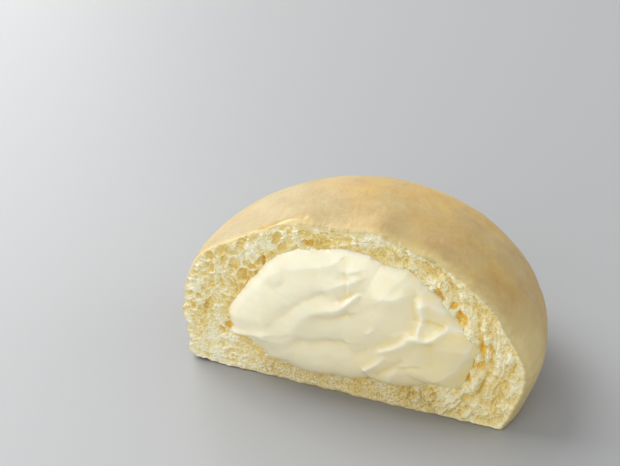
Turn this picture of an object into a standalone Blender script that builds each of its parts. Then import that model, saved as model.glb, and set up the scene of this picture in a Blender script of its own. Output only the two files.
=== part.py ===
"""Half of a soft pale bun filled with cream, cut straight down so that the cream shows.

Two solids: the bread, with its pocket and its torn crumb on the cut, and the cream that fills it.
Lengths are metres. The cut faces -Y, +X runs to the right along it, +Z is up, and the origin is the
middle of the bottom of the whole part's box.
"""

import math

import bmesh
import bpy
import numpy as np

MM = 0.001

# The whole bun: an oval in plan, widest a little above its foot, and cut in front of its middle
HALF_WIDTH = 51.8 * MM
HALF_DEPTH = 49.3 * MM
HEIGHT = 54.3 * MM
WIDEST_LEVEL = 16.2 * MM
DOME_POWER = 1.99
FOOT_SHARE = 0.91
FOOT_POWER = 1.6
MIDDLE_X = -0.9 * MM
MIDDLE_Y = 13.2 * MM
BELOW_FLOOR = 4.0 * MM
LONGEST_RAY = 80.0 * MM

# The part's origin, seen from the middle of the cut's foot: the middle of the whole box
ORIGIN_X = -0.66 * MM
ORIGIN_Y = 27.0 * MM

# Where the rays that shape both solids start, in the plane of the cut
CENTRE_X = 0.5 * MM
CENTRE_Z = 25.5 * MM

# Rises and dips of the skin along the cut: angle from +X, half width in degrees, height
SKIN_WAVES = (
    (78, 8, 1.3 * MM),
    (105, 9, -1.8 * MM),
    (150, 9, -1.6 * MM),
    (169, 6, 0.9 * MM),
    (203, 5, 1.2 * MM),
    (-7, 8, 1.0 * MM),
    (7, 7, -0.8 * MM),
)
WAVE_FADE = 14.0 * MM

# The cream's edge on the cut, as (x, z) places that a smooth closed curve follows
CREAM_EDGE = [
    (x * MM, z * MM)
    for x, z in (
        (37, 22),
        (34, 30.2),
        (27.5, 36.7),
        (20.5, 43.2),
        (10.8, 46.8),
        (0, 48.4),
        (-10, 45.6),
        (-20, 40.9),
        (-28, 32),
        (-33.6, 24),
        (-36, 16.5),
        (-28, 13.2),
        (-15, 9),
        (0, 8.6),
        (13, 9.2),
        (26, 11.3),
        (33, 14.5),
    )
]
EDGE_ROUNDING = 7.0  # degrees either way

# The pocket that the cream fills, and the play between the two solids
POCKET_DEPTH = 40.0 * MM
PLAY = 0.35 * MM

# Open places between cream and crumb: angle from +X, half width in degrees, how far they reach out
EDGE_GAPS = (
    (31, 5, 1.6 * MM),
    (14, 4, 1.2 * MM),
    (0, 4, 1.3 * MM),
    (-17, 6, 1.5 * MM),
    (120, 7, 1.3 * MM),
    (155, 5, 1.3 * MM),
    (197, 5, 1.5 * MM),
)
MOUTH_RECESS = 1.4 * MM
GAP_DEPTH = 2.2 * MM

# The crumb: round cells left open by the cut, larger where the crumb is thick
CELL_SPACING = 4.2 * MM
CELL_RADII = (1.7 * MM, 3.1 * MM)
CELL_DEPTH_SHARE = 0.8
THICK_CRUMB = 13.0 * MM
CRUMB_LUMP = 0.45 * MM
EVEN_ABOVE_FLOOR = 4.0 * MM
SEED = 11

# A crease in the skin behind the cut: its two ends as angle and distance back, half width, depth
CREASE = ((138, 0.0 * MM), (117, 3.8 * MM), 1.4 * MM, 1.0 * MM)

# The cream stands out of the cut, and is folded: ends of each fold, half width, height
CREAM_BULGE = 6.5 * MM
BULGE_POWER = 3.4
CREAM_FOLDS = [
    tuple(v * MM for v in fold)
    for fold in (
        (-17, 23.5, -6, 33, 3.2, 1.5),
        (-6, 33, 3, 35.5, 2.6, 1.2),
        (-23, 20, -9, 32.5, 2.6, -0.9),
        (-4, 30, 1, 30, 3.0, -1.1),
        (-31, 25.5, -22, 35.5, 3.0, 0.9),
        (-19.5, 35.5, -18.5, 35, 1.8, -1.0),
        (20, 38, 27, 37.5, 2.2, 0.8),
        (21.5, 34.5, 19.5, 28.5, 2.4, 1.2),
        (16.5, 27, 25.5, 31, 2.4, 1.1),
        (28, 34, 29, 33, 2.6, 1.2),
        (10.5, 21.5, 15.5, 25, 2.3, 1.1),
        (6.5, 14, 10, 17, 2.0, 0.8),
        (13, 16.5, 16, 19, 2.6, -0.9),
        (-25, 15, -15, 16.5, 2.0, 0.8),
    )
]

# How finely each solid is divided
BREAD_COLUMNS = 132
POCKET_RINGS = 5
CRUMB_RINGS = 9
SKIN_RINGS = 17
CREAM_COLUMNS = 84
BOWL_RINGS = 5
FRONT_RINGS = 15

BREAD_COLOUR = (0.70, 0.51, 0.24)
BREAD_ROUGHNESS = 0.7
CREAM_COLOUR = (0.86, 0.80, 0.62)
CREAM_ROUGHNESS = 0.35


def angle_between(theta, degrees):
    """How many degrees each angle of theta is from the given one, at most 180 either way."""
    return (np.degrees(theta) - degrees + 180.0) % 360.0 - 180.0


def waves(theta, table):
    """The sum of the table's bell-shaped bumps round the cut."""
    total = np.zeros_like(theta)
    for degrees, half_width, height in table:
        total += height * np.exp(-((angle_between(theta, degrees) / half_width) ** 2))
    return total


def outside_of_bun(x, y, z):
    """Positive outside the smooth bun: the oval's radius against the width that the level allows."""
    radius = np.hypot((x - MIDDLE_X) / HALF_WIDTH, (y - MIDDLE_Y) / HALF_DEPTH)
    rise = np.clip((z - WIDEST_LEVEL) / (HEIGHT - WIDEST_LEVEL), 0.0, 1.0)
    fall = np.clip((WIDEST_LEVEL - z) / WIDEST_LEVEL, 0.0, None)
    dome = np.sqrt(1.0 - rise**DOME_POWER)
    foot = 1.0 - (1.0 - FOOT_SHARE) * fall**FOOT_POWER
    over = np.maximum(z - HEIGHT, -BELOW_FLOOR - z) / MM
    return np.maximum(radius - dome * foot, over)


def bun_reach(dx, dy, dz):
    """How far each ray from the centre goes before it leaves the smooth bun, by halving."""
    near = np.zeros_like(dx)
    far = np.full_like(dx, LONGEST_RAY)
    for _ in range(40):
        middle = (near + far) / 2.0
        out = outside_of_bun(CENTRE_X + dx * middle, dy * middle, CENTRE_Z + dz * middle) > 0.0
        far = np.where(out, middle, far)
        near = np.where(out, near, middle)
    return near


def skin_points(theta, back):
    """The outer skin: rays at the angle theta round the cut, turned back by the angle `back`."""
    dx = np.cos(theta) * np.cos(back)
    dy = np.sin(back)
    dz = np.sin(theta) * np.cos(back)
    reach = bun_reach(dx, dy, dz)
    behind = dy * reach
    reach = reach + waves(theta, SKIN_WAVES) * np.exp(-((behind / WAVE_FADE) ** 2))
    reach = reach - crease(theta, behind)
    return np.stack([CENTRE_X + dx * reach, dy * reach, CENTRE_Z + dz * reach], axis=-1)


def crease(theta, behind):
    """How deep the crease is, by the distance from its line on the opened-out skin."""
    (angle_a, back_a), (angle_b, back_b), half_width, depth = CREASE
    across = HEIGHT / 2.0
    middle = (angle_a + angle_b) / 2.0
    u = np.radians(angle_between(theta, middle)) * across
    ua = math.radians(angle_a - middle) * across
    ub = math.radians(angle_b - middle) * across
    return depth * np.exp(-((line_distance(u, behind, ua, back_a, ub, back_b) / half_width) ** 2))


def line_distance(u, v, ua, va, ub, vb):
    """The distance of each (u, v) from the straight line between two places."""
    du, dv = ub - ua, vb - va
    along = np.clip(((u - ua) * du + (v - va) * dv) / (du * du + dv * dv), 0.0, 1.0)
    return np.hypot(u - ua - along * du, v - va - along * dv)


def cream_radius(theta):
    """The cream's edge as a distance from the centre: straight between its places, then rounded."""
    places = np.array(CREAM_EDGE) - (CENTRE_X, CENTRE_Z)
    angles = np.arctan2(places[:, 1], places[:, 0])
    radii = np.hypot(places[:, 0], places[:, 1])
    shifts = np.radians(np.linspace(-EDGE_ROUNDING, EDGE_ROUNDING, 9))
    around = np.interp(theta[..., None] + shifts, angles, radii, period=2.0 * math.pi)
    return around.mean(axis=-1)


def mouth_radius(theta):
    """The pocket's edge on the cut: the cream's edge, the play, and the open places."""
    return cream_radius(theta) + PLAY + waves(theta, EDGE_GAPS)


def cell_centres():
    """The crumb's open cells: one near each point of a grid over the cut, moved at random."""
    rng = np.random.default_rng(SEED)
    xs = np.arange(-HALF_WIDTH, HALF_WIDTH + CELL_SPACING, CELL_SPACING)
    zs = np.arange(0.0, HEIGHT + CELL_SPACING, CELL_SPACING)
    grid_x, grid_z = np.meshgrid(xs, zs)
    move = rng.uniform(-0.45, 0.45, (2,) + grid_x.shape) * CELL_SPACING
    radii = rng.uniform(*CELL_RADII, grid_x.shape)
    return (grid_x + move[0]).ravel(), (grid_z + move[1]).ravel(), radii.ravel()


def crumb_depth(x, z, thickness, share):
    """How far back the cut lies at (x, z), with the crumb's thickness and share of the way out."""
    centre_x, centre_z, radii = cell_centres()
    apart = np.hypot(x[..., None] - centre_x, z[..., None] - centre_z)
    cells = np.sqrt(np.maximum(radii**2 - apart**2, 0.0)).max(axis=-1)
    deep = cells * CELL_DEPTH_SHARE * np.clip(thickness / THICK_CRUMB, 0.25, 1.0)
    lumps = CRUMB_LUMP * (np.sin(x / (3.1 * MM) + z / (4.3 * MM)) + np.sin(z / (2.7 * MM) - x / (5.9 * MM)))
    inside_rim = np.clip((1.0 - share) * thickness / (1.5 * MM), 0.0, 1.0)
    above_floor = np.clip(z / EVEN_ABOVE_FLOOR, 0.1, 1.0)
    return (deep + np.maximum(lumps, -CRUMB_LUMP)) * inside_rim * above_floor


def cut_points(theta, share):
    """The cut face: from the pocket's mouth (share 0) straight out to the skin's rim (share 1)."""
    inner = mouth_radius(theta)
    rim = skin_points(theta, np.zeros_like(theta))
    outer = np.hypot(rim[..., 0] - CENTRE_X, rim[..., 2] - CENTRE_Z)
    radius = inner + (outer - inner) * share
    x = CENTRE_X + np.cos(theta) * radius
    z = CENTRE_Z + np.sin(theta) * radius
    thickness = outer - inner
    recess = MOUTH_RECESS + GAP_DEPTH * waves(theta, EDGE_GAPS) / (1.6 * MM)
    edge = recess * np.exp(-((radius - inner) / (1.3 * MM)) ** 1.5)
    return np.stack([x, crumb_depth(x, z, thickness, share) + edge, z], axis=-1)


def bowl_points(theta, share, outline, start, depth):
    """A half egg behind the cut: share 0 is its deepest place, share 1 its edge on the outline."""
    turn = share * math.pi / 2.0
    radius = outline * np.sin(turn)
    y = start + (depth - start) * np.cos(turn)
    return np.stack([CENTRE_X + np.cos(theta) * radius, y, CENTRE_Z + np.sin(theta) * radius], axis=-1)


def cream_folds(x, z):
    """How far the folds lift the cream at (x, z)."""
    lift = np.zeros_like(x)
    for xa, za, xb, zb, half_width, height in CREAM_FOLDS:
        lift += height * np.exp(-((line_distance(x, z, xa, za, xb, zb) / half_width) ** 2))
    return lift


def cream_front(theta, share):
    """The cream's open side: share 0 is its middle, share 1 its edge just inside the mouth."""
    radius = cream_radius(theta) * share
    x = CENTRE_X + np.cos(theta) * radius
    z = CENTRE_Z + np.sin(theta) * radius
    swell = np.sqrt(np.maximum(1.0 - share**BULGE_POWER, 0.0))
    y = MOUTH_RECESS * (1.0 - swell) - (CREAM_BULGE + cream_folds(x, z)) * swell
    return np.stack([x, y, z], axis=-1)


def bread_points(theta, ring):
    """The bread as one closed surface: rings from the back of the pocket to the back of the bun."""
    mouth = POCKET_RINGS
    rim = mouth + CRUMB_RINGS
    last = rim + SKIN_RINGS
    lip = cut_points(theta, np.zeros_like(theta))
    pocket = bowl_points(theta, np.clip(ring / mouth, 0.0, 1.0), mouth_radius(theta), lip[..., 1], POCKET_DEPTH)
    face = cut_points(theta, np.clip((ring - mouth) / CRUMB_RINGS, 0.0, 1.0))
    turned = np.clip((ring - rim) / (last - rim), 0.0, 1.0) ** 1.2 * math.pi / 2.0
    skin = skin_points(theta, turned)
    points = np.where((ring < mouth)[..., None], pocket, face)
    return np.where((ring > rim)[..., None], skin, points)


def cream_points(theta, ring):
    """The cream as one closed surface: rings from the back of its bowl to the middle of its front."""
    bowl = bowl_points(
        theta,
        np.clip(ring / BOWL_RINGS, 0.0, 1.0),
        cream_radius(theta),
        np.full_like(theta, MOUTH_RECESS),
        POCKET_DEPTH - PLAY,
    )
    share = np.clip((ring - BOWL_RINGS) / FRONT_RINGS, 0.0, 1.0)
    front = cream_front(theta, np.cos(share * math.pi / 2.0) ** 0.8)
    return np.where((ring <= BOWL_RINGS)[..., None], bowl, front)


def closed_mesh(columns, rings, points_of):
    """A ball of the given columns and rings, with each vertex moved to where points_of puts it."""
    ball = bmesh.new()
    bmesh.ops.create_uvsphere(ball, u_segments=columns, v_segments=rings, radius=1.0)
    ball.verts.ensure_lookup_table()
    unit = np.array([vertex.co[:] for vertex in ball.verts])
    ring = np.round(np.arccos(np.clip(unit[:, 2], -1.0, 1.0)) / math.pi * rings)
    theta = np.arctan2(unit[:, 1], unit[:, 0])
    for vertex, place in zip(ball.verts, points_of(theta, ring)):
        vertex.co = place
    return ball


def slice_flat(ball):
    """Cuts off what lies below the floor and closes the cut, which leaves the flat base."""
    everything = ball.verts[:] + ball.edges[:] + ball.faces[:]
    bmesh.ops.bisect_plane(ball, geom=everything, plane_co=(0, 0, 0), plane_no=(0, 0, -1), clear_outer=True)
    rim = [edge for edge in ball.edges if edge.is_boundary]
    bmesh.ops.holes_fill(ball, edges=rim, sides=0)


def box_of(*balls):
    """The lowest and highest corners of everything given."""
    points = np.array([vertex.co[:] for ball in balls for vertex in ball.verts])
    return points.min(axis=0), points.max(axis=0)


def principled(name, colour, roughness):
    """A plain surface of one colour."""
    material = bpy.data.materials.new(name)
    material.use_nodes = True
    shader = material.node_tree.nodes["Principled BSDF"]
    shader.inputs["Base Color"].default_value = (*colour, 1.0)
    shader.inputs["Roughness"].default_value = roughness
    shader.inputs["Metallic"].default_value = 0.0
    return material


def place(ball, name, material, collection):
    """Turns a finished surface into a named, smoothly shaded object."""
    bmesh.ops.recalc_face_normals(ball, faces=ball.faces[:])
    mesh = bpy.data.meshes.new(name)
    ball.to_mesh(mesh)
    ball.free()
    mesh.materials.append(material)
    mesh.shade_smooth()
    mesh.set_sharp_from_angle(angle=math.radians(50))
    thing = bpy.data.objects.new(name, mesh)
    collection.objects.link(thing)
    return thing


def main():
    for old in list(bpy.data.objects):
        bpy.data.objects.remove(old, do_unlink=True)
    parts = bpy.data.collections.new("cream_bun_half")
    bpy.context.scene.collection.children.link(parts)

    bread = closed_mesh(BREAD_COLUMNS, POCKET_RINGS + CRUMB_RINGS + SKIN_RINGS, bread_points)
    slice_flat(bread)
    cream = closed_mesh(CREAM_COLUMNS, BOWL_RINGS + FRONT_RINGS, cream_points)

    for ball in (bread, cream):
        bmesh.ops.translate(ball, verts=ball.verts[:], vec=(-ORIGIN_X, -ORIGIN_Y, 0.0))
    low, high = box_of(bread, cream)

    place(bread, "bun_bread", principled("bread", BREAD_COLOUR, BREAD_ROUGHNESS), parts)
    place(cream, "cream_filling", principled("cream", CREAM_COLOUR, CREAM_ROUGHNESS), parts)
    print("box in mm", np.round((high - low) / MM, 3), "about", np.round((high + low) / 2.0 / MM, 3))


main()
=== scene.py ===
# %% [markdown]
# # Half a cream bun
#
# A soft pale bun is cut straight down, and the cream inside stands out of the cut. Four finishes meet
# in it: a smooth golden crust, a pale honeycomb of crumb, a glossy ivory cream, and the thin toasted line
# round the foot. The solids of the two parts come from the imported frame. Here each gets its real
# surface: the bread as a thin crust over a body of crumb, and the cream as a folded mass that fills the
# pocket.
#
# Every length below is in millimetres on the cut: x to the right, y back into the bun, z up from the
# table, with x = 0 and y = 0 in the middle of the cut's foot. The last step of each piece turns it into
# the frame's metres. Angles round the cut are in degrees, from the right and up over the crown.

# %% Load the frame
import math

import bpy
import numpy as np
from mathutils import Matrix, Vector


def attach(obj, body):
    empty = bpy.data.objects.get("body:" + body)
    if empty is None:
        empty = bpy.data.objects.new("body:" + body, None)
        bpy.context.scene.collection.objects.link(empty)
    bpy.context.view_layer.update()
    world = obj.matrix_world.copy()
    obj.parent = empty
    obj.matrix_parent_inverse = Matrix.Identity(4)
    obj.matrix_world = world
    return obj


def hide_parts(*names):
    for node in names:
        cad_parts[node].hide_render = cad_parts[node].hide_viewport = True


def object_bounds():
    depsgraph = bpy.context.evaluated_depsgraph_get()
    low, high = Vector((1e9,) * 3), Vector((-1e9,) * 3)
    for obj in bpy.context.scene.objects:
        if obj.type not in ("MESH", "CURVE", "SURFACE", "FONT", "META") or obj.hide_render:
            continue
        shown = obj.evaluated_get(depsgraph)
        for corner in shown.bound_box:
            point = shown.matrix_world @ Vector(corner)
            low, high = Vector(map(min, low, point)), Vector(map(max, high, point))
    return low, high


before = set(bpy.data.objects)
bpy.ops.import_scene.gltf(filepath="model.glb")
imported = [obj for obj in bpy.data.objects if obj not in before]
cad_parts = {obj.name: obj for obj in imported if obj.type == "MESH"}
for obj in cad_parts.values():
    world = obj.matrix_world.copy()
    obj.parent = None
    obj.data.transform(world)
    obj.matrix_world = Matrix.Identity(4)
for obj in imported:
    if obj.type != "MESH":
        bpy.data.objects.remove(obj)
cad_low, cad_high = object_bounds()
print("the frame holds", sorted(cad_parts), "in a box from", cad_low[:], "to", cad_high[:])

# %% From millimetres on the cut to the frame
MM = 0.001
ORIGIN = np.array([-0.66, 27.0, 0.0])
BOX_LOW = np.array(cad_low) / MM + ORIGIN
BOX_HIGH = np.array(cad_high) / MM + ORIGIN
QUARTER_TURN = math.pi / 2.0
FULL_TURN = 2.0 * math.pi


def to_frame(points):
    """The place in the frame, in metres, of each point given in millimetres from the cut's foot."""
    inside = np.clip(points, BOX_LOW, BOX_HIGH)
    return (inside - ORIGIN) * MM


print("the box on the cut's own axes, mm:", BOX_LOW.round(2), BOX_HIGH.round(2))

# %% [markdown]
# ## Soft random fields
#
# Crumb, cream and crust are all uneven, each at its own size. One kind of random field makes all of it: a
# lattice of random numbers with smooth slopes between them, which gives lumps and waves. Blender has it
# as a texture node, but here it shapes the mesh itself, so it is worked out with numpy.

# %% Clouds
LATTICE = 64
FAR_CORNER = 640.37


def cloud(x, y, z, size, seed):
    """A smooth field from -1 to 1: random corner values, eased between corners by 3t^2 - 2t^3."""
    table = np.random.default_rng(seed).random((LATTICE, LATTICE, LATTICE))
    total = np.zeros(np.broadcast(x, y, z).shape)
    places = [np.asarray(axis) / size + FAR_CORNER for axis in (x, y, z)]
    cells = [np.floor(place).astype(int) for place in places]
    eased = [(p - c) ** 2 * (3.0 - 2.0 * (p - c)) for p, c in zip(places, cells)]
    for corner in np.ndindex(2, 2, 2):
        weight = 1.0
        for k in range(3):
            weight = weight * (eased[k] if corner[k] else 1.0 - eased[k])
        i, j, k = [(cells[n] + corner[n]) % LATTICE for n in range(3)]
        total = total + weight * table[i, j, k]
    return total * 2.0 - 1.0


def clouds(x, y, z, layers):
    """The sum of several clouds, each layer with its size, its height and its seed."""
    return sum(height * cloud(x, y, z, size, seed) for size, height, seed in layers)


print("one cloud:", cloud(np.arange(5.0), 0.0, 0.0, 2.0, 1).round(2))

# %% Steps and bells


def ease(value, low, high):
    """0 below low, 1 above high, and a smooth rise between them."""
    t = np.clip((value - low) / (high - low), 0.0, 1.0)
    return t * t * (3.0 - 2.0 * t)


def falling(value, low, high):
    """1 below low, 0 above high, and a smooth fall between them."""
    return 1.0 - ease(value, low, high)


def rising(value, low, high, start):
    """A smooth rise to 1 that begins at the start value and not at 0."""
    return start + (1.0 - start) * ease(value, low, high)


def bell(value, width):
    """1 where value is 0, falling off on both sides over the given width."""
    return np.exp(-((value / width) ** 2))


print("a rise:", ease(np.linspace(0.0, 1.0, 5), 0.0, 1.0).round(2))

# %% [markdown]
# ## The bun's form
#
# A proved bun is a ball that has slumped: an oval in plan, widest a little above its foot, with a foot
# slightly narrower than its widest level. The form could be sculpted, but its outline is so regular that
# a formula holds it. Rays leave a centre in the plane of the cut, and each is followed until it leaves
# the form. The same rays with small rises and dips give the uneven rim that the knife left.

# %% Driving sizes of the bun
HALF_WIDTH = 51.8
HALF_DEPTH = 49.3
HEIGHT = 54.3
WIDEST_LEVEL = 16.2
DOME_POWER = 1.99
FOOT_SHARE = 0.91
FOOT_POWER = 1.6
MIDDLE_X = -0.9
MIDDLE_Y = 13.2
CENTRE = (0.5, 25.5)
CRUST = 0.3
FARTHEST = 80.0
HALVINGS = 30
LEAST_FALL = 1e-6


def outside_of_bun(x, y, z):
    """Positive outside the smooth bun: the oval's radius against the width its level allows."""
    radius = np.hypot((x - MIDDLE_X) / HALF_WIDTH, (y - MIDDLE_Y) / HALF_DEPTH)
    rise = np.clip((z - WIDEST_LEVEL) / (HEIGHT - WIDEST_LEVEL), 0.0, 1.0)
    fall = np.clip((WIDEST_LEVEL - z) / WIDEST_LEVEL, 0.0, None)
    dome = np.sqrt(1.0 - rise**DOME_POWER)
    foot = 1.0 - (1.0 - FOOT_SHARE) * fall**FOOT_POWER
    return np.maximum(radius - dome * foot, z - HEIGHT)


def bun_reach(dx, dy, dz):
    """How far each ray from the centre goes before it leaves the form, by halving."""
    near = np.zeros_like(dx)
    far = np.full_like(dx, FARTHEST)
    for _ in range(HALVINGS):
        middle = (near + far) / 2.0
        out = outside_of_bun(CENTRE[0] + dx * middle, dy * middle, CENTRE[1] + dz * middle) > 0.0
        far = np.where(out, middle, far)
        near = np.where(out, near, middle)
    return near


def to_level(reach, dz, level):
    """The same reach, but no further than the ray's meeting with a level below the centre."""
    fall = (CENTRE[1] - level) / np.maximum(-dz, LEAST_FALL)
    return np.where(dz < 0.0, np.minimum(reach, fall), reach)


print("a bun of", 2 * HALF_WIDTH, "by", 2 * HALF_DEPTH, "by", HEIGHT, "mm, cut", MIDDLE_Y, "off its middle")

# %% The uneven rim
# each bump: its angle round the cut, half width in degrees, and height
SKIN_WAVES = ((78, 9, 1.0), (105, 12, -0.9), (150, 9, -1.6), (169, 6, 0.9), (-7, 8, 1.0), (7, 7, -0.8))
WAVE_FADE = 11.0
RIM_LOBES = (
    (185.0, 3.2, -0.5),
    (188.2, 1.3, -1.3),
    (196.4, 1.2, -0.9),
    (201.6, 0.8, -0.7),
    (205.0, 2.6, 1.9),
    (209.0, 1.0, -1.6),
)
LOBE_FADE = 5.0
LIP = 0.9
FOOT_LIP = 0.35
FOOT_LIP_FROM = (0.6, 0.8)


def angle_between(theta, degrees):
    """How many degrees each angle is from the given one, at most 180 either way."""
    return (np.degrees(theta) - degrees + 180.0) % 360.0 - 180.0


def waves(theta, table):
    """The sum of the table's bell-shaped bumps round the cut: angle, half width, height."""
    total = np.zeros_like(theta)
    for degrees, half_width, height in table:
        total += height * bell(angle_between(theta, degrees), half_width)
    return total


def rounding(theta, behind):
    """How far the skin is drawn in at the cut: a quarter circle, smaller along the foot."""
    lip = LIP + (FOOT_LIP - LIP) * ease(np.cos(theta + QUARTER_TURN), *FOOT_LIP_FROM)
    left = np.clip(1.0 - behind / lip, 0.0, 1.0)
    return lip * (1.0 - np.sqrt(1.0 - left * left))


def by_angle(theta, table):
    """A size that changes round the cut: straight between the angles of a table."""
    return np.interp(np.degrees(theta), table[:, 0], table[:, 1], period=360.0)


print(len(SKIN_WAVES) + len(RIM_LOBES), "rises and dips round the rim")

# %% [markdown]
# ## The crease and the skin
#
# At its upper left edge the crust folded over itself when the knife pressed it, and left a crease with a
# raised flap. On the opened-out skin the crease is a line of short straight pieces, and it deepens the
# skin by a bell across that line. A cutting tool would need a solid for the same shape.

# %% Crease
# degrees round the cut, and how far behind the cut
CREASE_LINE = ((141.0, 0.3), (134.0, 1.0), (129.5, 1.7), (125.2, 2.8), (120.0, 3.4))
CREASE_MIDDLE = 129.5
CREASE_SCALE = math.pi / 180.0 * HEIGHT / 2.0
CREASE_HALF_WIDTH = 0.8
CREASE_DEPTH = 0.6
FLAP_RISE = 0.2
FLAP_APART = 1.2
FLAP_WIDTH = 0.8
FLAP_AHEAD = (0.0, 0.6)
NOWHERE = 1e9


def line_distance(u, v, ua, va, ub, vb):
    """The distance of each (u, v) from the straight line between two places."""
    du, dv = ub - ua, vb - va
    along = np.clip(((u - ua) * du + (v - va) * dv) / (du * du + dv * dv), 0.0, 1.0)
    return np.hypot(u - ua - along * du, v - va - along * dv)


def crease_distance(theta, behind):
    """How far each place on the opened-out skin is from the crease's line, and its side of the line."""
    nearest = np.full(np.broadcast(theta, behind).shape, NOWHERE)
    ahead = np.zeros(nearest.shape)
    u = angle_between(theta, CREASE_MIDDLE) * CREASE_SCALE
    for (angle_a, back_a), (angle_b, back_b) in zip(CREASE_LINE[:-1], CREASE_LINE[1:]):
        ends = [(angle - CREASE_MIDDLE) * CREASE_SCALE for angle in (angle_a, angle_b)]
        apart = line_distance(u, behind, ends[0], back_a, ends[1], back_b)
        level = back_a + (u - ends[0]) / (ends[1] - ends[0]) * (back_b - back_a)
        ahead = np.where(apart < nearest, level - behind, ahead)
        nearest = np.minimum(nearest, apart)
    return nearest, ahead


def crease(theta, behind):
    """How deep the crease is: a bell across its line, with a raised flap on the cut's side of it."""
    apart, ahead = crease_distance(theta, behind)
    flap = FLAP_RISE * bell(apart - FLAP_APART, FLAP_WIDTH) * ease(ahead, *FLAP_AHEAD)
    return CREASE_DEPTH * bell(apart, CREASE_HALF_WIDTH) - flap


print("crease from", CREASE_LINE[0][0], "to", CREASE_LINE[-1][0], "degrees round the cut")

# %% Points of the skin
RING_STEPS = 3601


def skin_points(theta, back, inward=0.0, relief=0.0):
    """The outer skin: rays at the angle theta round the cut, turned back by the angle `back`."""
    dx = np.cos(theta) * np.cos(back)
    dy = np.sin(back)
    dz = np.sin(theta) * np.cos(back)
    reach = to_level(bun_reach(dx, dy, dz), dz, 0.0)
    behind = dy * reach
    reach = reach + waves(theta, SKIN_WAVES) * bell(behind, WAVE_FADE)
    reach = reach + waves(theta, RIM_LOBES) * bell(behind, LOBE_FADE)
    reach = reach - crease(theta, behind) - rounding(theta, behind) - inward + relief
    reach = to_level(reach, dz, inward)
    return np.stack([CENTRE[0] + dx * reach, dy * reach, CENTRE[1] + dz * reach], axis=-1)


def columns(count):
    """Angles for one ring, so spread that the points are evenly spaced along the rim."""
    theta = np.linspace(0.0, FULL_TURN, RING_STEPS)
    rim = skin_points(theta, np.zeros_like(theta))
    along = np.concatenate([[0.0], np.cumsum(np.linalg.norm(np.diff(rim, axis=0), axis=1))])
    return np.interp(np.arange(count) / count * along[-1], along, theta)


print("right, crown, left, foot:", skin_points(np.radians([0, 90, 180, 270]), np.zeros(4)).round(1).tolist())

# %% [markdown]
# ## The edge of the cream
#
# On the cut, the cream's edge is a lopsided arch over a flatter, sagging line. Its places were read off
# the real cut as sizes. Straight lines join them, and averaging over a few degrees rounds the corners.

# %% Cream edge
CREAM_EDGE = np.array(
    [(-36.4, 19.1), (-32.6, 25.9), (-27, 33.4), (-24.5, 37.8), (-19.2, 41.9), (-8.7, 45.4), (-3, 47)]
    + [(5.4, 46.7), (9.2, 45), (16.6, 43.8), (22.3, 39.6), (30.9, 30.7), (35.5, 27.2), (36.9, 24)]
    + [(35.1, 19.6), (33.4, 13.8), (31.8, 11), (24.4, 10.7), (17, 8), (7.3, 8.8), (-3.6, 6.6)]
    + [(-18.9, 7.2), (-23.8, 7.6), (-25.8, 9.6), (-30.2, 12.1), (-33.3, 13), (-36.1, 12.6), (-35, 15)]
)
EDGE_ROUNDING = 0.8
EDGE_SAMPLES = 9
POCKET_DEPTH = 40.0
PLAY = 0.35
# small runs of cream that hang over the edge: angle, half width and length
DRIPS = ((215.2, 0.9, 1.6), (224.5, 0.8, 1.2), (263.0, 1.1, 1.0))


def cream_radius(theta):
    """The cream's edge as a distance from the centre: straight between its places, then averaged."""
    places = CREAM_EDGE - CENTRE
    angles = np.arctan2(places[:, 1], places[:, 0])
    radii = np.hypot(places[:, 0], places[:, 1])
    shifts = np.radians(np.linspace(-EDGE_ROUNDING, EDGE_ROUNDING, EDGE_SAMPLES))
    around = np.interp(theta[..., None] + shifts, angles, radii, period=FULL_TURN)
    return around.mean(axis=-1)


print("cream edge, right, top, left and foot:", cream_radius(np.radians([0.0, 90.0, 180.0, 270.0])).round(1))

# %% [markdown]
# ## A closed surface from rings
#
# The crumb's body, the crust and the cream are stacks of closed rings between two single points, like the
# lines of latitude on a globe. Boxes smoothed by a modifier could give such forms, but not their exact
# sizes. Neighbouring rings have the same number of points, or one has half as many, because the rim wants
# many points and the plain back few. Every ring is worked out as a whole array.

# %% Faces between two rings
NO_QUADS = np.zeros((0, 4), int)
NO_TRIANGLES = np.zeros((0, 3), int)


def cap_faces(tip, start, count):
    """Triangles from one point to every side of a ring."""
    i = np.arange(count)
    return np.stack([np.full(count, tip), start + i, start + (i + 1) % count], axis=1)


def halved_faces(fine_start, fine_count, coarse_start):
    """Three triangles to each side of a ring that has half as many points as its neighbour."""
    i = np.arange(fine_count // 2)
    fine = [fine_start + (2 * i + k) % fine_count for k in range(3)]
    coarse = [coarse_start + i, coarse_start + (i + 1) % len(i)]
    corners = ((fine[0], coarse[0], fine[1]), (fine[1], coarse[0], coarse[1]), (fine[1], coarse[1], fine[2]))
    return np.concatenate([np.stack(three, axis=1) for three in corners])


def ring_faces(start_a, count_a, start_b, count_b):
    """Squares where the counts match, and triangles where a ring is halved or is a single point."""
    if count_a == count_b:
        i = np.arange(count_a)
        j = (i + 1) % count_a
        return np.stack([start_a + i, start_b + i, start_b + j, start_a + j], axis=1), NO_TRIANGLES
    if count_a == 1:
        return NO_QUADS, cap_faces(start_a, start_b, count_b)
    if count_b == 1:
        return NO_QUADS, cap_faces(start_b, start_a, count_a)[:, ::-1]
    if count_a > count_b:
        return NO_QUADS, halved_faces(start_a, count_a, start_b)
    return NO_QUADS, halved_faces(start_b, count_b, start_a)[:, ::-1]


print("a ring of 8 beside one of 4 gives", len(ring_faces(0, 8, 8, 4)[1]), "triangles")

# %% Rings to a mesh


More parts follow.
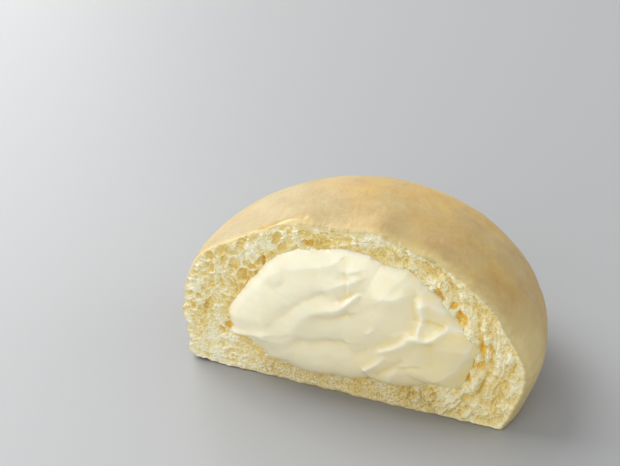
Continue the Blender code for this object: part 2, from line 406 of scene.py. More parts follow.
def mesh_object(name, points, quads, triangles, shades):
    """A smooth mesh from arrays, with one number for each point under each name in shades."""
    mesh = bpy.data.meshes.new(name)
    corners = np.concatenate([quads.ravel(), triangles.ravel()])
    starts = np.concatenate([np.arange(len(quads)) * 4, len(quads) * 4 + np.arange(len(triangles)) * 3])
    mesh.vertices.add(len(points))
    mesh.vertices.foreach_set("co", points.astype(np.float32).ravel())
    mesh.loops.add(len(corners))
    mesh.loops.foreach_set("vertex_index", corners.astype(np.int32))
    mesh.polygons.add(len(starts))
    mesh.polygons.foreach_set("loop_start", starts.astype(np.int32))
    mesh.update(calc_edges=True)
    mesh.shade_smooth()
    for shade, values in shades.items():
        layer = mesh.attributes.new(shade, "FLOAT", "POINT")
        layer.data.foreach_set("value", values.astype(np.float32))
    thing = bpy.data.objects.new(name, mesh)
    bpy.context.scene.collection.objects.link(thing)
    print(name, "has", len(points), "points and", 2 * len(quads) + len(triangles), "triangles")
    return thing


def ringed_object(name, rings, shades):
    """One closed piece from a list of rings of points in millimetres and lists of their shades."""
    starts = np.cumsum([0] + [len(ring) for ring in rings])
    quads, triangles = [], []
    for k in range(len(rings) - 1):
        four, three = ring_faces(starts[k], len(rings[k]), starts[k + 1], len(rings[k + 1]))
        quads.append(four)
        triangles.append(three)
    joined = {shade: np.concatenate(values) for shade, values in shades.items()}
    points = to_frame(np.concatenate(rings))
    return mesh_object(name, points, np.concatenate(quads), np.concatenate(triangles), joined)


def level_ring(angles, away, y):
    """A ring in a plane beside the cut: at each angle, so far from the centre, and y behind the cut."""
    x = CENTRE[0] + np.cos(angles) * away
    z = CENTRE[1] + np.sin(angles) * away
    return np.stack([x, np.broadcast_to(y, x.shape), z], axis=-1)


def skip_at(k, fine, middle):
    """Keep every point below the first limit, every second below the next, then every fourth."""
    return 1 if k < fine else 2 if k < middle else 4


print("ring helpers ready")

# %% [markdown]
# ## The torn crumb
#
# Crumb is foam. On the left of this cut the bubbles are large, with thin pale walls; along the foot they
# are small and dense; on the right the crumb has torn into lumps with crevices between them. A boolean
# with thousands of balls could carve it, but that is slow and leaves poor faces. The cut is nearly flat,
# so a table of depths can hold all of it: how far back the surface lies at each place. Its rows are rings
# from the pocket's mouth out to the crust, and its columns go round the cut.

# %% The table of places on the cut
CRUMB_COLUMNS = 2400
CRUMB_RINGS = 96
TUCK = 0.9
MOUTH_PASSES = 12
FRINGE_TURN = np.array(
    [(-50, 60), (0, 66), (40, 60), (90, 55), (130, 62), (155, 84), (212, 84), (225, 55), (290, 55)]
)
FRINGE_CLOUDS = ((2.1, 0.6, 71), (0.8, 0.6, 72))
FRINGE_PLAY = 24.0
FRINGE_LIMITS = (20.0, 88.0)
FRINGE_RISE = 0.07


def blurred_round(values, passes):
    """Values round the cut, each averaged with its neighbours many times over."""
    for _ in range(passes):
        values = 0.5 * values + 0.25 * (np.roll(values, 1) + np.roll(values, -1))
    return values


def from_centre(points):
    """How far points are from the centre of the rays, seen straight at the cut."""
    return np.hypot(points[:, 0] - CENTRE[0], points[:, 2] - CENTRE[1])


crumb_theta = columns(CRUMB_COLUMNS)
flat_rim = skin_points(crumb_theta, np.zeros(CRUMB_COLUMNS))
lip_here = rounding(crumb_theta, 0.0)
ragged = clouds(flat_rim[:, 0], 0.0, flat_rim[:, 2], FRINGE_CLOUDS)
fringe_turn = by_angle(crumb_theta, FRINGE_TURN) + FRINGE_PLAY * np.clip(ragged, -1.0, 1.0)
fringe_turn = np.radians(np.clip(fringe_turn, *FRINGE_LIMITS))
fringe_back = lip_here * (1.0 - np.cos(fringe_turn)) / from_centre(flat_rim)
rim = skin_points(crumb_theta, fringe_back, -FRINGE_RISE)
crumb_outer = to_level(from_centre(rim), np.sin(crumb_theta), 0.0)
crumb_inner = blurred_round(cream_radius(crumb_theta), MOUTH_PASSES) - TUCK
print("a table of", CRUMB_RINGS + 1, "rings with", CRUMB_COLUMNS, "places each")

# %% The distances that shape it
outward = np.linspace(0.0, 1.0, CRUMB_RINGS + 1)[:, None]
radius = crumb_inner + (crumb_outer - crumb_inner) * outward
theta = np.broadcast_to(crumb_theta, radius.shape)
flat_x = CENTRE[0] + np.cos(theta) * radius
flat_z = CENTRE[1] + np.sin(theta) * radius
from_rim = crumb_outer - radius
from_mouth = radius - crumb_inner
lip_inset = from_rim + lip_here * (1.0 - np.sin(fringe_turn))
lip_left = np.clip(1.0 - lip_inset / lip_here, 0.0, 1.0)
lip_back = lip_here * (1.0 - np.sqrt(1.0 - lip_left**2))


def cut_clouds(layers):
    """The sum of several clouds over the cut."""
    return clouds(flat_x, 0.0, flat_z, layers)


def sector(theta, degrees, half_width, soft):
    """1 within half_width degrees of an angle, easing to 0 over the next few."""
    return falling(np.abs(angle_between(theta, degrees)), half_width, half_width + soft)


print("crumb", from_rim.max(axis=0).min().round(1), "to", from_rim.max().round(1), "mm wide")

# %% [markdown]
# ### Bubbles of every size
#
# Bubbles in dough press against each other, small ones between large ones. A Voronoi texture has cells
# of one size only. Here ovals are dropped at random, and each grows until it meets its neighbours. Then
# every place belongs to the oval that is nearest, counted in that oval's own sizes, and the border
# between two ovals is a thin wall.

# %% Sizes of the bubbles
CELL_SIZES = np.array(
    [(-62, 0.45), (-40, 0.8), (0, 1.1), (45, 1.2), (70, 1.0), (110, 1.1), (130, 1.7), (145, 2.3)]
    + [(168, 2.2), (180, 1.3), (192, 1.0), (205, 0.9), (222, 0.6), (240, 0.4), (290, 0.4)]
)
CELL_STRETCH = np.array(
    [(-62, 1.8), (-40, 1.2), (45, 1.1), (90, 1.9), (135, 1.6), (170, 1.2), (200, 1.2), (225, 2.0)]
)
# the bubbles that stand out: x, z, half width, stretch along the cut and depth
BIG_CELLS = (
    (-21.6, 45.6, 1.3, 1.9, 1.9),
    (-25.9, 37.9, 1.7, 1.0, 2.6),
    (-28.8, 34.6, 1.2, 1.0, 1.8),
    (-41.6, 20.2, 1.8, 0.9, 2.2),
    (-43.2, 17.0, 1.0, 1.0, 1.3),
    (-35.4, 15.0, 1.4, 0.8, 2.2),
    (-38.4, 11.4, 1.2, 0.9, 1.6),
    (-38.9, 6.6, 0.9, 1.6, 1.2),
    (-30.4, 11.2, 1.3, 1.6, 1.6),
    (-12.0, 45.8, 1.1, 2.0, 2.2),
    (25.6, 39.6, 1.5, 0.9, 2.6),
    (32.0, 33.6, 1.6, 1.2, 2.2),
    (36.3, 25.6, 1.2, 1.4, 2.4),
    (35.0, 15.6, 1.5, 1.6, 2.2),
    (42.4, 27.5, 1.0, 1.5, 1.4),
    (35.6, 12.2, 1.0, 1.0, 1.3),
    (23.1, 48.3, 0.9, 1.8, 1.0),
)
CELLS_AT_RIM = (0.3, 3.0, 0.45)
STRETCH_AT_RIM = (0.5, 3.5)
MORE_STRETCH = 0.9
cell_limit = by_angle(theta, CELL_SIZES) * rising(from_rim, *CELLS_AT_RIM)
cell_stretch = by_angle(theta, CELL_STRETCH) * (1.0 + MORE_STRETCH * falling(from_rim, *STRETCH_AT_RIM))
print("bubbles up to", 2.0 * cell_limit.max().round(2), "mm across")

# %% Dropping the ovals
MOST_CELLS = 12000
LIMIT_PLAY = (0.75, 1.0)
DEPTH_PLAY = (0.3, 1.0)
SMALLEST_SHARE = 0.55


def packed_cells(limits, stretches, levels, wall, seed, first=()):
    """Ovals dropped one at a time at random places, each grown until it is one wall from the others.

    An oval is an angle, a distance from the centre, a half width across and a stretch along the cut. It
    may be as large as the limit at its place times the level, and a much smaller one is dropped.
    """
    rng = np.random.default_rng(seed)
    found = np.zeros((MOST_CELLS, 5))
    count = 0
    for x, z, size, stretch, deep in first:
        turn = math.atan2(z - CENTRE[1], x - CENTRE[0]) % (2.0 * math.pi)
        found[count] = (turn, math.hypot(x - CENTRE[0], z - CENTRE[1]), size, stretch, deep / size)
        count += 1
    for level, tries in levels:
        column = rng.integers(0, CRUMB_COLUMNS, tries)
        ring = rng.random(tries) * CRUMB_RINGS
        angle = crumb_theta[column]
        away = crumb_inner[column] + (crumb_outer - crumb_inner)[column] * ring / CRUMB_RINGS
        limit = limits[ring.astype(int), column] * level * rng.uniform(*LIMIT_PLAY, tries)
        deep = rng.uniform(*DEPTH_PLAY, tries)
        stretch = stretches[ring.astype(int), column]
        for k in range(tries):
            turn = np.abs(found[:count, 0] - angle[k])
            turn = np.minimum(turn, 2.0 * math.pi - turn) * away[k] / np.maximum(stretch[k], found[:count, 3])
            gap = np.hypot(turn, found[:count, 1] - away[k]) - found[:count, 2] - wall
            size = min(limit[k], gap.min() if count else limit[k])
            if size > SMALLEST_SHARE * limit[k] and count < len(found):
                found[count] = (angle[k], away[k], size, stretch[k], deep[k])
                count += 1
    return found[:count]


CELL_LEVELS = ((1.0, 3500), (0.55, 3000))
CELL_WALL = -0.3
CELL_SEED = 31
GRAIN_SIZE = 0.48
GRAIN_STRETCH = 1.15
GRAIN_LEVELS = ((1.0, 9000), (0.7, 5000))
GRAIN_WALL = -0.12
GRAIN_SEED = 33
cells = packed_cells(cell_limit, cell_stretch, CELL_LEVELS, CELL_WALL, CELL_SEED, BIG_CELLS)
grain_limit = np.full(radius.shape, GRAIN_SIZE)
grain = packed_cells(grain_limit, GRAIN_STRETCH * cell_stretch, GRAIN_LEVELS, GRAIN_WALL, GRAIN_SEED)
print(len(cells), "bubbles and", len(grain), "small ones in their walls and floors")

# %% Which bubble each place is in
WARP = ((4.0, 0.9), (1.8, 0.5), (0.7, 0.36), (0.35, 0.2))
WARP_OUT_SEED = 21
WARP_ALONG_SEED = 25
GRAIN_WARP = 0.4
FAR_OFF = 9.0
SIZE_BETWEEN = 0.3
SIZES_SEARCHED = 2.4
MORE_SEARCHED = 1.6


def seeded(layers, seed):
    """Layers of size and height, each given a seed of its own by counting up from the first."""
    return [(size, height, seed + k) for k, (size, height) in enumerate(layers)]


def tiled(cells, warp_out, warp_along):
    """For each place its nearest oval and how far the wall is: half of second minus first, times size.

    Distances are counted in sizes of the oval, so a small oval has a small cell and a large one a large
    cell, and the cells share thin walls that leave no gaps between them.
    """
    first = np.full(radius.shape, FAR_OFF)
    second = np.full(radius.shape, FAR_OFF)
    size_here = np.full(radius.shape, SIZE_BETWEEN)
    number = np.zeros(radius.shape)
    for angle, away, size, stretch, deep in cells:
        half = (SIZES_SEARCHED * size * stretch + MORE_SEARCHED) / away
        turned = angle_between(crumb_theta, math.degrees(angle))
        wanted = np.abs(turned) <= math.degrees(half)
        across = radius[:, wanted] + warp_out[:, wanted] - away
        along = np.radians(turned[wanted]) * away + warp_along[:, wanted]
        reach = np.sqrt(across**2 + (along / stretch) ** 2) / size
        nearer = reach < first[:, wanted]
        second[:, wanted] = np.where(nearer, first[:, wanted], np.minimum(second[:, wanted], reach))
        first[:, wanted] = np.where(nearer, reach, first[:, wanted])
        size_here[:, wanted] = np.where(nearer, size, size_here[:, wanted])
        number[:, wanted] = np.where(nearer, deep, number[:, wanted])
    return first, 0.5 * (second - first) * size_here, size_here, number


warp_out = cut_clouds(seeded(WARP, WARP_OUT_SEED))
warp_along = cut_clouds(seeded(WARP, WARP_ALONG_SEED))
cell_first, cell_wall, cell_size, cell_number = tiled(cells, warp_out, warp_along)
grain_tiles = tiled(grain, GRAIN_WARP * warp_out, GRAIN_WARP * warp_along)
grain_first, grain_wall, grain_size, grain_number = grain_tiles
print("walls at most", cell_wall.max().round(2), "mm from a place")

# %% [markdown]
# ### How deep the bubbles are
#
# An opened bubble is a bowl: steep at its wall, round at its bottom. Not every bubble is open, and each
# region of the cut has its own mixture, so every region is a smooth mask from 0 to 1, and the masks say
# how much of the large bowls and of the small ones shows.

# %% Regions of the cut
TORN_SECTOR = (5, 50, 20)
FOOT_SECTOR = (270, 44, 14)
FOOT_LEVELS = (12.0, 18.0)
CROWN_SECTOR = (105, 22, 14)
COARSE_SECTOR = (142, 16, 12)
FINE_CLOUDS = ((5.5, 1.0, 47), (2.3, 0.4, 48))
FINE_FROM = (-0.1, 0.5)
COARSE_SHARE = 0.75
CROWN_SHARE = 0.5
TORN_SHARE = 0.75
torn = sector(theta, *TORN_SECTOR)
foot = sector(theta, *FOOT_SECTOR) * falling(flat_z, *FOOT_LEVELS)
crown = sector(theta, *CROWN_SECTOR)
fine_zone = ease(cut_clouds(FINE_CLOUDS), *FINE_FROM)
fine_zone = fine_zone * (1.0 - COARSE_SHARE * sector(theta, *COARSE_SECTOR)) * (1.0 - CROWN_SHARE * crown)
fine_zone = np.maximum(fine_zone, np.maximum(foot, TORN_SHARE * torn))
print("fine crumb on", fine_zone.mean().round(2), "of the cut, torn crumb on", torn.mean().round(2))

# %% Bowls
BOWL_REACH = 1.5
CELL_WALL_WIDTH = 0.34
GRAIN_WALL_WIDTH = 0.16
OPEN_FROM = (0.3, 0.65)
FINE_CLOSES = 0.7
CLOSED_DEPTH = 0.15
BOWL_SHARE = 0.6
BOWLS_LOST_WHERE_TORN = 0.85
BOWLS_LOST_AT_CROWN = 0.4
SMALL_LEAST = 0.05
SMALL_IN_FINE = 0.45
SMALL_IN_FOOT = 0.5
SMALL_LOST = 0.7
FLOOR_FROM = (0.08, 0.34)


def bowl_depth(first, wall, size, number, wall_width):
    """Steep at the wall and round at the bottom, with a depth of its own for each cell."""
    steep = 1.0 - bell(wall, wall_width)
    return size * number * steep * np.sqrt(np.clip(1.0 - (first / BOWL_REACH) ** 2, 0.0, 1.0))


open_cell = ease(cell_number, *OPEN_FROM) * (1.0 - FINE_CLOSES * fine_zone) * (1.0 - torn)
bowls = bowl_depth(cell_first, cell_wall, cell_size, cell_number, CELL_WALL_WIDTH)
small = bowl_depth(grain_first, grain_wall, grain_size, grain_number, GRAIN_WALL_WIDTH)
depth = BOWL_SHARE * bowls * (CLOSED_DEPTH + (1.0 - CLOSED_DEPTH) * open_cell)
depth = depth * (1.0 - BOWLS_LOST_WHERE_TORN * torn) * (1.0 - BOWLS_LOST_AT_CROWN * crown)
small_share = SMALL_LEAST + fine_zone * (SMALL_IN_FINE + SMALL_IN_FOOT * foot)
depth += small * small_share * (1.0 - SMALL_LOST * torn)
cell_floor = open_cell * ease(cell_wall, *FLOOR_FROM)
print("bowls up to", depth.max().round(2), "mm deep")

# %% [markdown]
# ### Threads and fluff
#
# Where the bun was pulled apart, the walls between the bubbles tore and stayed as pale threads and soft
# fluff. Hair could make them, but they lie on the crumb, so they're low ridges in the same table. A
# cloud is zero along thin wandering lines, and a bell round zero picks those lines out. Masks break them
# up, so that none runs far.

# %% Lines of torn walls
PATCH_DETAIL = 0.4
PATCH_EDGE = 0.3
# size of the net, width of its lines, their strength, and the seeds of the net and of its gaps
THREADS = ((1.5, 0.12, 1.0, 101, 111), (0.8, 0.15, 0.9, 102, 113), (0.42, 0.2, 0.7, 103, 115))
THREAD_BEND = 0.25
THREAD_GAPS = 2.4
THREAD_LEAST = 0.25
WEB_WIDTH = 0.13
WEB_GAPS = (1.6, 121)
WEB_BREAKS = (0.7, 125)
WEB_LEAST = 0.3
WEB_LOST = 0.85


def patches(size, seed):
    """1 in some patches and 0 in others, with soft edges."""
    layers = ((size, 1.0, seed), (PATCH_DETAIL * size, PATCH_DETAIL, seed + 1))
    return ease(cut_clouds(layers), -PATCH_EDGE, PATCH_EDGE)


def net(size, width, seed, bend, bend_x, bend_z):
    """Lines where a cloud is zero, with the places bent by a share of the size first."""
    field = cloud(flat_x + bend * size * bend_x, 0.0, flat_z + bend * size * bend_z, size, seed)
    return bell(field, width)


threads = np.zeros(radius.shape)
for size, width, strength, seed, gap_seed in THREADS:
    line = strength * net(size, width, seed, THREAD_BEND, warp_along, warp_out)
    kept = THREAD_LEAST + (1.0 - THREAD_LEAST) * patches(THREAD_GAPS * size, gap_seed)
    threads = np.maximum(threads, line * kept)
web = bell(cell_wall, WEB_WIDTH) * patches(*WEB_GAPS) * (WEB_LEAST + (1.0 - WEB_LEAST) * patches(*WEB_BREAKS))
threads = np.maximum(threads, web * (1.0 - WEB_LOST * torn) * (1.0 - foot))
print("threads cover", (threads > 0.5).mean().round(2), "of the cut")

# %% Fluff and grains
FLUFF = ((2.8, 0.26, 131), (1.5, 0.24, 132))
FLUFF_BEND = 0.3
FLUFF_GAPS = (3.0, 133)
FLUFF_LEAST = 0.35
GRAINS = ((0.36, 0.7, 123), (0.22, 0.5, 124))
FLOOR_BARE = 0.75
fluff = np.zeros(radius.shape)
for size, width, seed in FLUFF:
    fluff = np.maximum(fluff, net(size, width, seed, FLUFF_BEND, warp_along, warp_out))
fluff = fluff * (FLUFF_LEAST + (1.0 - FLUFF_LEAST) * patches(*FLUFF_GAPS)) * (1.0 - torn)
grains = cut_clouds(GRAINS)
covered = 1.0 - FLOOR_BARE * cell_floor * (1.0 - fluff)
print("fluff covers", (fluff > 0.5).mean().round(2), "of the cut")

# %% [markdown]
# ### Clumps, crevices and holes
#
# On the right the crumb tore into clumps that lie along the rim, with crevices between them. The size of
# a cloud's value gives exactly that: rounded humps that meet in sharp valleys. Beside the cream there are
# a few real holes, and each is an oval with a ragged edge.

# %% Clumps
CLUMPS = ((4.4, 1.6, 81), (2.3, 1.4, 82), (1.1, 0.8, 83))
SMALL_CLUMPS = ((0.55, 0.28, 86), (0.3, 0.18, 87))
CLUMP_STRETCH = 1.5
CLUMP_RADIUS = 30.0
CLUMP_BEND = 0.2
CLUMP_LEVEL = 0.3
CLEFT_WIDTH = 0.2
DRAWN = ((3.4, 1.0, 85),)
DRAWN_FROM = (-0.35, 0.25, 0.35)


def clumped(size, seed):
    """A cloud in places that run along the rim, so that its lumps are longer than they are wide."""
    along = np.radians(angle_between(theta, 0.0)) * CLUMP_RADIUS / CLUMP_STRETCH
    along = along + CLUMP_BEND * warp_along * size
    return cloud(along, 0.0, radius + CLUMP_BEND * warp_out * size, size, seed)


clumps = np.zeros(radius.shape)
clefts = np.zeros(radius.shape)
drawn = rising(cut_clouds(DRAWN), *DRAWN_FROM)
for size, height, seed in CLUMPS:
    field = clumped(size, seed)
    clumps += height * (CLUMP_LEVEL - np.abs(field))
    clefts = np.maximum(clefts, bell(field, CLEFT_WIDTH) * min(1.0, height) * drawn)
for size, height, seed in SMALL_CLUMPS:
    clumps += height * clumped(size, seed)
print("clumps from", clumps.min().round(1), "to", clumps.max().round(1), "mm")

# %% Holes beside the cream
# x, z, half width, half height and depth
HOLES = (
    (-24.3, 37.6, 1.3, 1.5, 1.8),
    (-12.6, 46.3, 1.9, 0.8, 1.4),
    (24.9, 39.3, 1.4, 2.2, 1.7),
    (29.0, 35.6, 1.3, 1.6, 1.3),
    (31.6, 32.4, 1.5, 2.2, 1.8),
    (37.2, 24.2, 1.3, 2.6, 1.6),
    (36.6, 19.0, 1.9, 1.5, 1.5),
    (34.3, 15.0, 1.9, 1.6, 1.5),
    (-35.6, 13.9, 1.5, 1.4, 1.8),
    (-38.4, 11.8, 1.2, 1.3, 1.3),
)
HOLE_BEND = 1.3
HOLE_GRAINS = 0.45
HOLE_FROM = (0.35, 1.25)
holes = np.zeros(radius.shape)
bent_x = flat_x + HOLE_BEND * warp_out
bent_z = flat_z + HOLE_BEND * warp_along
for x, z, half_x, half_z, deep in HOLES:
    place = np.hypot((bent_x - x) / half_x, (bent_z - z) / half_z) + HOLE_GRAINS * grains
    holes = np.maximum(holes, deep * falling(place, *HOLE_FROM))
print(len(HOLES), "holes, the deepest", holes.max().round(1), "mm")

# %% Everything on top of the bowls
LUMPS = ((5.2, 0.7, 41), (2.6, 0.4, 42))
LUMP_SHARE = 0.35
CLUMP_SHARE = 1.35
SUNK = 0.25
FLUFF_RISE = 0.5
FLUFF_LOST_AT_FOOT = 0.6
GRAIN_RISES = ((0.22, torn), (0.34, foot), (0.14, fluff))
GRAIN_RISE = 0.12
THREAD_RISE = 0.24
THREAD_RISE_AT_FOOT = 0.12


def blended(start, parts):
    """A number plus a share of each field."""
    return start + sum(share * field for share, field in parts)


depth += CLUMP_SHARE * clumps * torn + LUMP_SHARE * cut_clouds(LUMPS) + SUNK
depth -= FLUFF_RISE * fluff * (1.0 - FLUFF_LOST_AT_FOOT * foot)
thread_rise = THREAD_RISE + THREAD_RISE_AT_FOOT * foot
depth += covered * (blended(GRAIN_RISE, GRAIN_RISES) * grains - thread_rise * threads)
print("with clumps:", depth.min().round(2), "to", depth.max().round(2), "mm")

# %% [markdown]
# ### Mouth, rim and foot
#
# The relief has to end well at its borders. At the crust it flattens into a ragged line, near the foot it
# is pressed flat, and at the pocket's mouth the crumb comes up to the cream, apart from the holes. One
# crack runs down to the foot.

# %% Borders of the crumb
DEEPEST = 3.4
RIM_WAVES = ((6.0, 0.3, 45), (2.0, 0.42, 46), (0.9, 0.25, 47))
WAVE_REACH = 5.0
DENSE_SECTOR = (-2, 34, 8)
DENSE_FROM = (0.8, 2.2)
DENSE_SHARE = 0.5
RIM_BEND = 0.9
RIM_FROM = (-0.1, 2.4)
FRAY = ((0.8, 0.3, 45), (0.45, 0.25, 46))
FRAY_SHARE = 0.2
FRAY_FROM = (0.0, 0.8)
FOOT_PRESSED = (0.0, 1.4, 0.3)
rim_wave = clouds(rim[:, 0], 0.0, rim[:, 2], RIM_WAVES)
dense_band = sector(theta, *DENSE_SECTOR) * falling(from_rim, *DENSE_FROM)
depth = depth * (1.0 - DENSE_SHARE * dense_band)
at_rim = falling(from_rim + RIM_BEND * warp_out, *RIM_FROM)
depth = depth * (1.0 - at_rim) + FRAY_SHARE * cut_clouds(FRAY) * at_rim * ease(from_rim, *FRAY_FROM)
depth = depth * rising(flat_z, *FOOT_PRESSED) + lip_back + rim_wave * falling(from_rim, 0.0, WAVE_REACH)
print("the rim is", rim_wave.min().round(2), "to", rim_wave.max().round(2), "mm off a plane")

# %% The pocket's mouth and the crack
MOUTH_BAND = 1.5
MOUTH_LEVEL = -0.1
MOUTH_GAPS = ((4.5, 1.0, 58),)
MOUTH_GAPS_FROM = (0.15, 0.5)
HOLE_AT_MOUTH = 0.4
HOLE_ROUGHNESS = 0.3
CRACK = (-26.2, 4.5, -24.4, 1.2)
CRACK_BEND = 0.6
CRACK_WIDTH = 0.3
CRACK_DEPTH = 0.4
at_mouth = falling(from_mouth, TUCK, TUCK + MOUTH_BAND) * falling(cut_clouds(MOUTH_GAPS), *MOUTH_GAPS_FROM)
depth += (np.minimum(depth, MOUTH_LEVEL) - depth) * at_mouth * falling(holes, 0.0, HOLE_AT_MOUTH)
crack = bell(line_distance(flat_x + CRACK_BEND * warp_along, flat_z, *CRACK), CRACK_WIDTH)
depth = np.minimum(depth + holes * (1.0 + HOLE_ROUGHNESS * grains) + CRACK_DEPTH * crack, DEEPEST)
print("finished depths:", depth.min().round(2), "to", depth.max().round(2), "mm")

# %% [markdown]
# ### What tone each place has
#
# A hollow in crumb looks yellow, because its light has gone through more crumb, and a thread looks nearly
# white. A finer simulation of light could find that, but only in long renders. So each place is compared
# with the average round it, and the result goes to the material as a number on each point.

# %% Hollows
NEAR_PASSES = 120
WIDE_PASSES = 700


def blurred(field, passes):
    """The average round each place: a quarter of both neighbours and half of itself, many times over."""
    for _ in range(passes):
        field = 0.5 * field + 0.25 * (np.roll(field, 1, axis=1) + np.roll(field, -1, axis=1))
        padded = np.concatenate([field[:1], field, field[-1:]])
        field = 0.5 * field + 0.25 * (padded[:-2] + padded[2:])
    return field


relief = depth - lip_back
hollow = relief - blurred(relief, NEAR_PASSES)
wide_hollow = relief - blurred(relief, WIDE_PASSES)
print("hollows from", hollow.min().round(2), "to", hollow.max().round(2), "mm")

# %% Tones
CREAM_BAND = (0.2, 1.4)
NEAR_CREAM = (1.0, 6.0)
BROAD = ((7.0, 1.0, 53), (3.4, 0.7, 54))
CREAM_HOLLOWS = (-0.4, 0.4)
TORN_HOLLOWS = (-0.3, 1.2)
MIDDLE_TONE = 0.5
TORN_TONE = 0.19
beside_cream = falling(from_mouth - TUCK, *CREAM_BAND)
near_cream = falling(from_mouth, *NEAR_CREAM) * (1.0 - foot) * (1.0 - crown)
broad = cut_clouds(BROAD)
# painted shade: the floors of open bubbles, the hollows and the crumb near and beside the cream are made
# yellower; the broad clouds, grains, fluff and the paler band at the rim are the crumb's own tone
TONE_SHARES = (
    (0.16, cell_floor),
    (0.1, hollow),
    (0.14, wide_hollow),
    (0.34, broad),
    (0.1, foot),
    (-0.3, fluff),
    (0.3, near_cream),
    (0.2, covered * grains),
    (0.4, covered * foot * grains),
    (-0.42, covered * threads),
    (-0.16, at_rim),
    (0.3, beside_cream * ease(hollow, *CREAM_HOLLOWS)),
)
# painted shade: the crevices between torn clumps and the wide hollows are made yellower
TORN_TONE_SHARES = (
    (0.36, clefts),
    (0.34, ease(wide_hollow, *TORN_HOLLOWS)),
    (0.28, grains),
    (-0.34, threads),
    (0.1, broad),
)
tone = blended(MIDDLE_TONE, TONE_SHARES)
tone = np.clip(tone + (blended(TORN_TONE, TORN_TONE_SHARES) - tone) * torn, 0.0, 1.0)
print("tone", tone.mean().round(2), "on average")

# %% Painted shade in holes, at the foot and in the crack; the toasted line and turned-over skin
AMBER_FROM = (0.1, 1.3)
AMBER_SHARE = 0.8
AMBER_GRAINS = 0.5
AMBER_HOLLOWS = (0.1, 0.7)
AMBER_BESIDE_CREAM = 0.5
CRACK_SHADE = 0.2
FOOT_SHADE = 0.32
FOOT_SHADE_GRAINS = 0.34
TOAST_BEND = 0.15
TOAST_LINE = (0.15, 0.5)
TURNED_OVER = (0.1, 1.1)
# painted shade: deep holes and the hollows beside the cream take a warm amber, standing in for light that has
# gone through crumb
amber_shade = ease(holes, *AMBER_FROM) * (AMBER_SHARE + AMBER_GRAINS * grains)
amber_shade = amber_shade + AMBER_BESIDE_CREAM * beside_cream * ease(hollow, *AMBER_HOLLOWS)
amber_shade = np.clip(amber_shade, 0.0, 1.0)
# painted shade: the foot and the crack are darkened towards brown; only the line along the very bottom is a
# real toasted edge
toast_and_shade = CRACK_SHADE * crack + (FOOT_SHADE + FOOT_SHADE_GRAINS * grains) * foot
toast_and_shade = np.clip(np.maximum(toast_and_shade, falling(flat_z + TOAST_BEND * warp_out, *TOAST_LINE)), 0.0, 1.0)
turned_over = falling(from_rim, *TURNED_OVER)
print("amber on", (amber_shade > 0.5).mean().round(3), "of the cut")

# %% [markdown]
# ## The crumb's body
#
# Behind the torn face the crumb is hidden, so its body is plain and has few points. It starts at the back
# of the pocket, comes forward along the pocket's wall, passes behind the face and runs back just under
# the crust. Booleans could cut the pocket out of a dome, but rings give even faces and need no cutter.

# %% Rings of the body
BODY_SKIP = 8
BODY_FRONT = 3.8
UNDER_CRUST = 1.6
POCKET_RINGS = 10
FRONT_SHARES = (0.0, 0.5)
BACK_RINGS = 14
FIRST_BACK = 0.06
BACK_POWER = 1.2
BODY_TONE = 0.8


def crumb_body_rings():
    """Every ring of the crumb's body, from the pocket's back over its hidden front to the bun's back."""
    angles = crumb_theta[::BODY_SKIP]
    inner = crumb_inner[::BODY_SKIP]
    outer = crumb_outer[::BODY_SKIP] - UNDER_CRUST
    rings = [np.array([[CENTRE[0], POCKET_DEPTH, CENTRE[1]]])]
    for k in range(1, POCKET_RINGS):
        turn = (k / POCKET_RINGS) * QUARTER_TURN
        y = BODY_FRONT + (POCKET_DEPTH - BODY_FRONT) * math.cos(turn)
        rings.append(level_ring(angles, inner * math.sin(turn), y))
    for share in FRONT_SHARES:
        rings.append(level_ring(angles, inner + (outer - inner) * share, BODY_FRONT))
    for k in range(BACK_RINGS):
        back = (FIRST_BACK + (1.0 - FIRST_BACK) * (k / BACK_RINGS) ** BACK_POWER) * QUARTER_TURN
        ring = skin_points(angles, np.full(len(angles), back), UNDER_CRUST)
        ring[:, 1] = np.maximum(ring[:, 1], BODY_FRONT)
        rings.append(ring)
    rings.append(skin_points(np.zeros(1), np.full(1, QUARTER_TURN), UNDER_CRUST))
    return rings


body_rings = crumb_body_rings()
body_shades = {"tone": [np.full(len(ring), BODY_TONE) for ring in body_rings]}
for name in ("skin", "toast_and_shade", "amber_shade"):
    body_shades[name] = [np.zeros(len(ring)) for ring in body_rings]
body = ringed_object("crumb_body", body_rings, body_shades)

# %% [markdown]
# ## The torn face in three slabs
#
# The table of depths becomes the surface in front. It has more points than one piece should, so it is
# three slabs side by side, each closed behind. A closed slab has a sharp corner at its side, which shades
# as a dark line, so each slab runs on for a few columns past its seam and tucks those under its neighbour.

# %% A closed slab
GUARD = 3


def slab_faces(rows, count):
    """The front squares, the strips to the rows behind, and the two fans that close the sides."""
    across = np.arange(count - 1)
    first_back = rows * count
    last_back = first_back + count
    last_row = (rows - 1) * count
    corner = (np.arange(rows - 1)[:, None] * count + across).ravel()
    quads = [np.stack([corner, corner + count, corner + count + 1, corner + 1], axis=1)]
    for start_a, start_b in ((first_back, 0), (last_row, last_back), (last_back, first_back)):
        a, b = start_a + across, start_b + across
        quads.append(np.stack([a, b, b + 1, a + 1], axis=1))
    triangles = []
    for side, flip in ((0, True), (count - 1, False)):
        edge = np.append(np.arange(rows) * count + side, last_back + side)
        fan = np.stack([np.full(rows, first_back + side), edge[:-1], edge[1:]], axis=1)
        triangles.append(fan[:, ::-1] if flip else fan)
    return np.concatenate(quads), np.concatenate(triangles)


